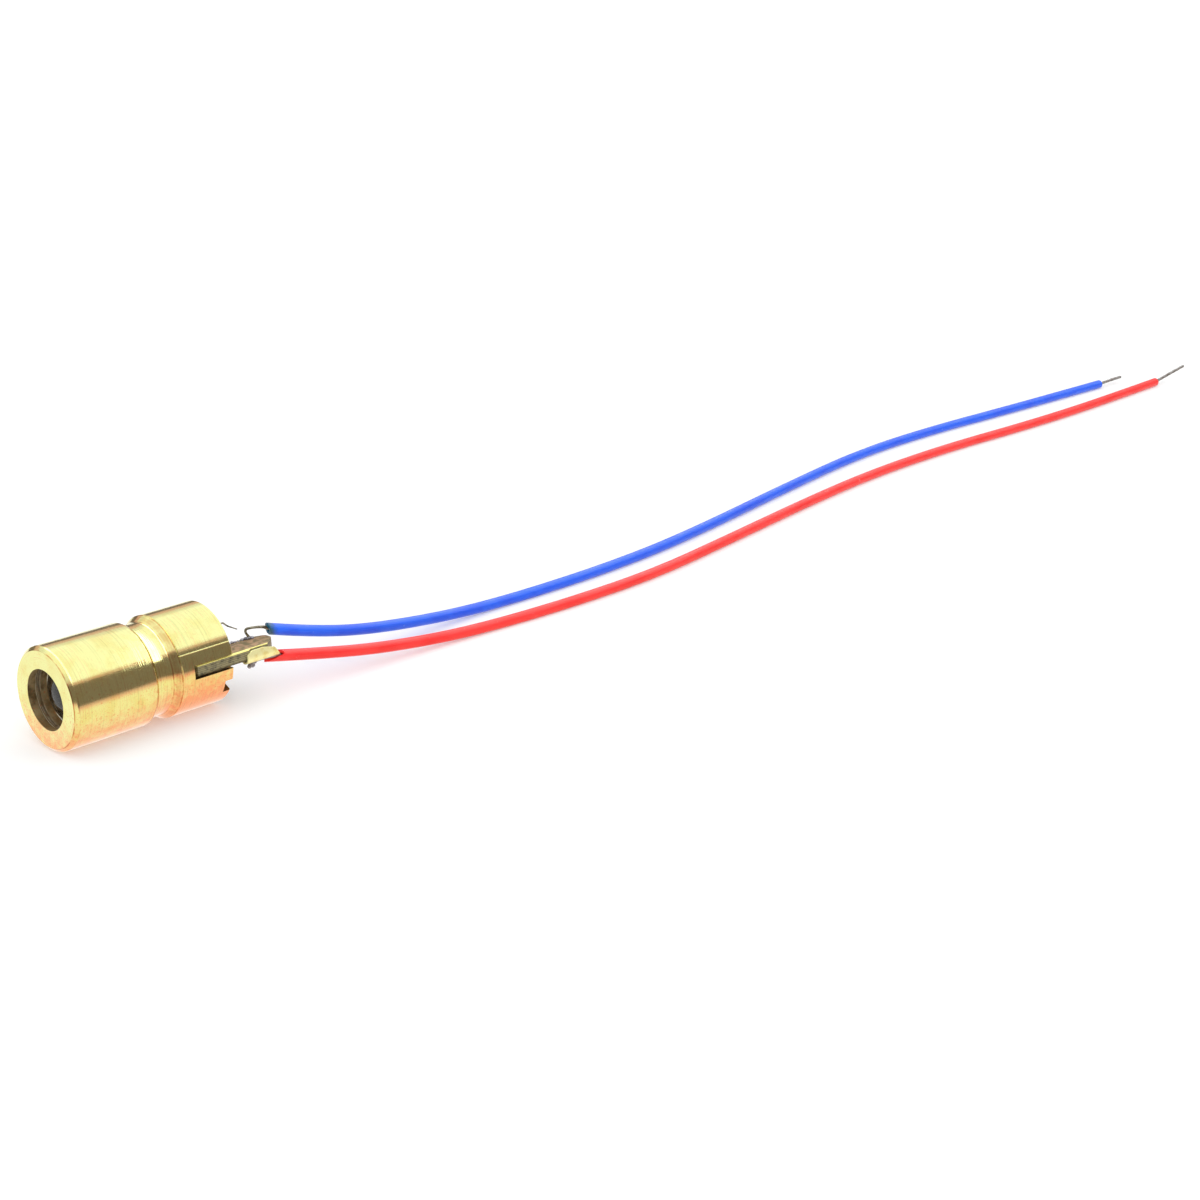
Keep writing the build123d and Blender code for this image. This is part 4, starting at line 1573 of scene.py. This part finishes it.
@dataclass
class Studio:
    """Floor, lamps, surroundings and camera. Sizes are in metres, and angles in degrees."""

    floor_z: float
    floor_half: float = 1.5
    floor_lift: float = 0.2
    mirror_depth: float = 0.04
    mirror_scale: float = 1.25
    dish_radius: float = 0.62
    dish_height: float = 0.4
    dish_radiance: float = 0.3
    wall_radius: float = 0.55
    wall_pitch: int = 3
    wall_heights: Sequence[Pair] = (
        (-180, 0.16), (-160, 0.2), (-145, 0.31), (-130, 0.37), (-100, 0.38), (-54, 0.335), (-43, 0.31),
        (0, 0.19), (45, 0.135), (90, 0.13), (135, 0.15), (180, 0.16))
    fringe: Sequence[Pair] = ((-180, 0.05), (-54, 0.065), (0, 0.08), (50, 0.11), (180, 0.05))
    white: Colour = (1.0, 1.0, 1.0, 1.0)
    wall_colour: Colour = (0.245, 0.193, 0.185, 1.0)
    fringe_colour: Colour = (0.85, 0.55, 0.54, 1.0)
    fan_angles: Pair = (35.5, 49.0)
    fan_span: Pair = (33.0, 146.0)
    fan_steps: int = 32
    fan_reach: float = 0.45
    fan_radiance: float = 3.6
    bow: Sequence[Point] = (
        (-0.152, -0.719, 0.678), (-0.141, -0.6, 0.786), (-0.109, -0.322, 0.939), (-0.062, -0.014, 0.998),
        (0.0, 0.294, 0.955), (0.073, 0.566, 0.82), (0.156, 0.775, 0.611))
    bow_reach: float = 0.36
    bow_half_width: float = 0.028
    bow_radiance: float = 4.0
    sky: float = 0.9
    key_side: float = 0.3
    key_radiance: float = 1.5
    key_place: Point = (-0.42, -0.3, 0.12)
    camera_place: Point = (-0.064472, -0.100574, 0.046390)
    camera_right: Point = (0.701782, -0.712391, 0.0)
    camera_up: Point = (0.24137, 0.23777, 0.94085)
    camera_forward: Point = (0.670256, 0.660275, -0.338813)

    def build(self) -> None:
        """Set up everything that isn't the object."""
        self.build_floor()
        self.build_cards()
        self.build_lamps()
        self.build_world()
        self.build_camera()
        bpy.context.scene.view_settings.view_transform = "Standard"

    def seen(self, tree: Tree) -> Node:
        """Tell apart what is seen from what only lights.

        Args:
            tree: The nodes of the floor or the world.

        Returns:
            One for rays from the camera, from gloss and through glass, and nothing for the others.
        """
        path = add_node(tree, "ShaderNodeLightPath").outputs
        either = add_node(tree, "ShaderNodeMath", {
            0: path["Is Camera Ray"], 1: path["Is Glossy Ray"]}, operation="ADD")
        return add_node(tree, "ShaderNodeMath", {
            0: either, 1: path["Is Transmission Ray"]}, operation="ADD", use_clamp=True)

    def mirrored_floor(self, tree: Tree) -> Node:
        """Light the paper as gloss sees it: white behind the brass, warm before it, dim far out.

        Args:
            tree: The paper's nodes.

        Returns:
            The shader.
        """
        place = add_node(tree, "ShaderNodeTexCoord").outputs["Object"]
        parts = add_node(tree, "ShaderNodeSeparateXYZ", {0: place}).outputs
        reach = add_node(tree, "ShaderNodeMapRange", {
            "Value": parts["Y"], "From Min": -self.mirror_depth, "From Max": 0.0})
        ramp = add_node(tree, "ShaderNodeValToRGB", {"Fac": reach})
        stops = [
            (0.0, self.wall_colour), (0.33, self.wall_colour), (0.5, (0.75, 0.48, 0.48, 1.0)),
            (0.63, (1.12, 0.66, 0.64, 1.0)), (0.75, (1.2, 1.1, 0.9, 1.0)), (0.875, (1.21, 1.08, 0.88, 1.0)),
            (0.94, (1.2, 0.92, 0.84, 1.0)), (1.0, (1.22, 1.2, 1.16, 1.0))]
        elements = ramp.color_ramp.elements
        while len(elements) < len(stops):
            elements.new(0.5)
        # Moving a stop can change the stops' order, so the colours are set once all are in place
        for element, (position, _) in zip(elements, stops):
            element.position = position
        for element, (_, colour) in zip(elements, stops):
            element.color = (*(c / self.mirror_scale for c in colour[:3]), 1.0)
        return add_node(tree, "ShaderNodeEmission", {"Color": ramp, "Strength": self.mirror_scale})

    def build_floor(self) -> None:
        """Lay white paper that the object's soft shadow falls on."""
        bm = bmesh.new()
        bmesh.ops.create_grid(bm, x_segments=2, y_segments=2, size=self.floor_half / MM)
        bmesh.ops.translate(bm, verts=bm.verts, vec=(0.0, 0.0, self.floor_z / MM))
        material = bpy.data.materials.new("matt_white_paper")
        tree = emptied(material)
        paper = add_node(tree, "ShaderNodeBsdfDiffuse", {"Color": linear("EBEBEB"), "Roughness": 0.5})
        lift = add_node(tree, "ShaderNodeMath", {
            0: self.seen(tree), 1: self.floor_lift}, operation="MULTIPLY")
        glow = add_node(tree, "ShaderNodeEmission", {"Color": linear("FFFFFF"), "Strength": lift})
        both = add_node(tree, "ShaderNodeAddShader", {0: paper, 1: glow})
        path = add_node(tree, "ShaderNodeLightPath").outputs
        either = add_node(tree, "ShaderNodeMixShader", {
            0: path["Is Glossy Ray"], 1: both, 2: self.mirrored_floor(tree)})
        add_node(tree, "ShaderNodeOutputMaterial", {"Surface": either})
        mesh_object("floor", bm, material)

    def card(self, name: str, rows: Sequence[Sequence[Vector]], colour: Colour, radiance: float) -> None:
        """Stand a glowing card that only gloss shows.

        Args:
            name: The card's name.
            rows: Rows of points that its faces join, in metres.
            colour: Its linear colour.
            radiance: Its brightness.
        """
        bm = bmesh.new()
        grid = [[bm.verts.new(Vector(point) / MM) for point in row] for row in rows]
        for low, high in zip(grid, grid[1:]):
            for corners in zip(low, low[1:], high[1:], high):
                bm.faces.new(corners)
        bmesh.ops.remove_doubles(bm, verts=bm.verts, dist=1e-3)
        material = bpy.data.materials.new(name)
        tree = emptied(material)
        glow = add_node(tree, "ShaderNodeEmission", {"Color": colour, "Strength": radiance})
        add_node(tree, "ShaderNodeOutputMaterial", {"Surface": glow})
        card = mesh_object(name, bm, material)
        card.visible_camera = False
        card.visible_diffuse = False
        card.visible_shadow = False
        card.visible_transmission = False

    def ring_row(self, height: Callable[[float], float]) -> list[Vector]:
        """Points round the object at a height that goes by the angle.

        Args:
            height: Gives the height, in metres, for degrees from -180 to 180.

        Returns:
            The points, closed.
        """
        row = []
        for degrees in range(-180, 181, self.wall_pitch):
            angle = math.radians(degrees)
            x, y = self.wall_radius * math.cos(angle), self.wall_radius * math.sin(angle)
            row.append(Vector((x, y, height(degrees))))
        return row

    def fan_row(self, off_axis: float) -> list[Vector]:
        """Points of one edge of the fan.

        Args:
            off_axis: The edge's angle off the barrel's axis.

        Returns:
            The points, from one end of the fan to the other.
        """
        along, across = math.cos(math.radians(off_axis)), math.sin(math.radians(off_axis))
        start, end = self.fan_span
        row = []
        for i in range(self.fan_steps + 1):
            turn = math.radians(start + (end - start) * i / self.fan_steps)
            row.append(Vector((along, across * math.cos(turn), across * math.sin(turn))) * self.fan_reach)
        return row

    def build_cards(self) -> None:
        """Stand the dim room with its warm upper edge, the white fan beyond the leads, and the bow."""
        foot = self.ring_row(lambda degrees: self.floor_z)
        edge = self.ring_row(lambda degrees: between(self.wall_heights, degrees))
        top = self.ring_row(
            lambda degrees: between(self.wall_heights, degrees) + between(self.fringe, degrees))
        fan = [self.fan_row(angle) for angle in self.fan_angles]
        self.card("room_ring", [foot, edge], self.wall_colour, 1.0)
        self.card("warm_room_edge", [edge, top], self.fringe_colour, 1.0)
        self.card("white_fan", fan, self.white, self.fan_radiance)
        middle = [Vector(point).normalized() * self.bow_reach for point in smooth_line(self.bow, 6)]
        side = Vector((self.bow_half_width, 0.0, 0.0))
        bow = [[point - side for point in middle], [point + side for point in middle]]
        self.card("overhead_bow", bow, self.white, self.bow_radiance)

    def lamp(self, name: str, shape: str, size: float, radiance: float, place: Point) -> Piece:
        """Hang a soft lamp that faces the object.

        Args:
            name: The lamp's name.
            shape: DISK or SQUARE.
            size: Diameter or side, in metres.
            radiance: Brightness of its face, where 1 shows as white.
            place: Where it hangs, in metres.

        Returns:
            The lamp.
        """
        data = bpy.data.lights.new(name, "AREA")
        data.shape = shape
        data.size = size
        share = math.pi / 4 if shape == "DISK" else 1.0
        data.energy = radiance * math.pi * share * size * size
        lamp = linked(name, data)
        lamp.location = place
        lamp.rotation_mode = "QUATERNION"
        lamp.rotation_quaternion = (-Vector(place)).to_track_quat("-Z", "Y")
        return lamp

    def build_lamps(self) -> None:
        """Hang the wide soft dish and a soft lamp low on the front left."""
        over = (0.0, 0.0, self.dish_height)
        self.lamp("overhead_dish", "DISK", 2 * self.dish_radius, self.dish_radiance, over)
        front = self.lamp("front_softbox", "SQUARE", self.key_side, self.key_radiance, self.key_place)
        front.visible_glossy = False

    def build_world(self) -> None:
        """White where it is seen, and an even sky for light."""
        world = bpy.data.worlds.new("studio")
        bpy.context.scene.world = world
        tree = emptied(world)
        strength = add_node(tree, "ShaderNodeMapRange", {
            "Value": self.seen(tree), "To Min": self.sky, "To Max": 1.0})
        sky = add_node(tree, "ShaderNodeBackground", {"Color": linear("FFFFFF"), "Strength": strength})
        add_node(tree, "ShaderNodeOutputWorld", {"Surface": sky})

    def build_camera(self) -> None:
        """Place the camera at the photograph's view."""
        data = bpy.data.cameras.new("photo_view")
        data.sensor_width = SENSOR_MM
        data.lens = SENSOR_MM * PHOTO_FOCAL_PX / PHOTO_SIDE_PX
        data.clip_start = 0.002
        data.clip_end = 20.0
        camera = linked("photo_view", data)
        turn = Matrix((self.camera_right, self.camera_up, -Vector(self.camera_forward))).transposed()
        camera.matrix_world = Matrix.Translation(self.camera_place) @ turn.to_4x4()
        bpy.context.scene.camera = camera


# The whole object

BLUE_ROUTE: Sequence[Point] = (
    (3.9, -1.05, 3.60), (7.6, -1.15, 2.42), (12.6, -0.95, 1.32), (20.1, -0.60, 0.35), (28.6, -0.97, 0.35),
    (36.6, -0.60, 0.35), (44.1, 0.50, 0.35), (54.6, 2.45, 0.35), (65.6, 4.25, 0.35), (75.1, 4.40, 0.35),
    (86.8, 3.57, 0.35), (97.9, 3.05, 0.35))
BLUE_TIP: Sequence[Point] = ((97.9, 3.05, 0.35), (99.5, 2.98, 0.42), (100.9, 2.80, 0.50))
RED_ROUTE: Sequence[Point] = (
    (3.9, -2.24, 2.27), (7.8, -2.62, 1.48), (12.2, -2.90, 0.80), (17.6, -3.33, 0.35), (25.1, -3.98, 0.35),
    (33.6, -3.95, 0.35), (42.6, -2.62, 0.35), (53.6, -0.88, 0.35), (62.6, 0.17, 0.35), (72.1, 0.35, 0.35),
    (82.1, -0.27, 0.35), (92.1, -0.40, 0.35), (102.0, -0.05, 0.35))
RED_TIP: Sequence[Point] = ((102.0, -0.05, 0.35), (103.6, 0.00, 0.55), (106.5, -0.08, 1.00))


def main() -> None:
    """Build the object and its studio."""
    logging.basicConfig(level=logging.INFO, format="%(name)s %(message)s")
    floor_z = CAD_BOX[0].z
    Studio(floor_z=floor_z).build()
    barrel = Barrel.from_frame()
    rear_x = barrel.at(barrel.length)
    for name, route, tip, end, finish, slot in (
            ("blue_wire", BLUE_ROUTE, BLUE_TIP, FrontEnd.SCORCHED, BLUE_PVC, "blue_insulation"),
            ("red_wire", RED_ROUTE, RED_TIP, FrontEnd.SPLIT, RED_PVC, "red_insulation")):
        lead = Lead(name, route, tip, rear_x, floor_z / MM, end)
        lead.build_wire(finish)
        lead.build_tip(TINNED.build())
    shaded_bore = SHADED_BORE_BRASS.build()
    barrel.build(BARREL_BRASS.build(), shaded_bore)
    barrel.build_rings(shaded_bore)
    barrel.build_glint_rings(PALE_GLINT_FINISH.build())
    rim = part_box("collimating_lens")[1].z / MM
    Lens(seat_x=barrel.at(barrel.lens_seat), rim=rim).build(LENS_ACRYLIC.build())
    BoardEnd().build()
    dress_inner_nodes()


if __name__ == "__main__":
    main()
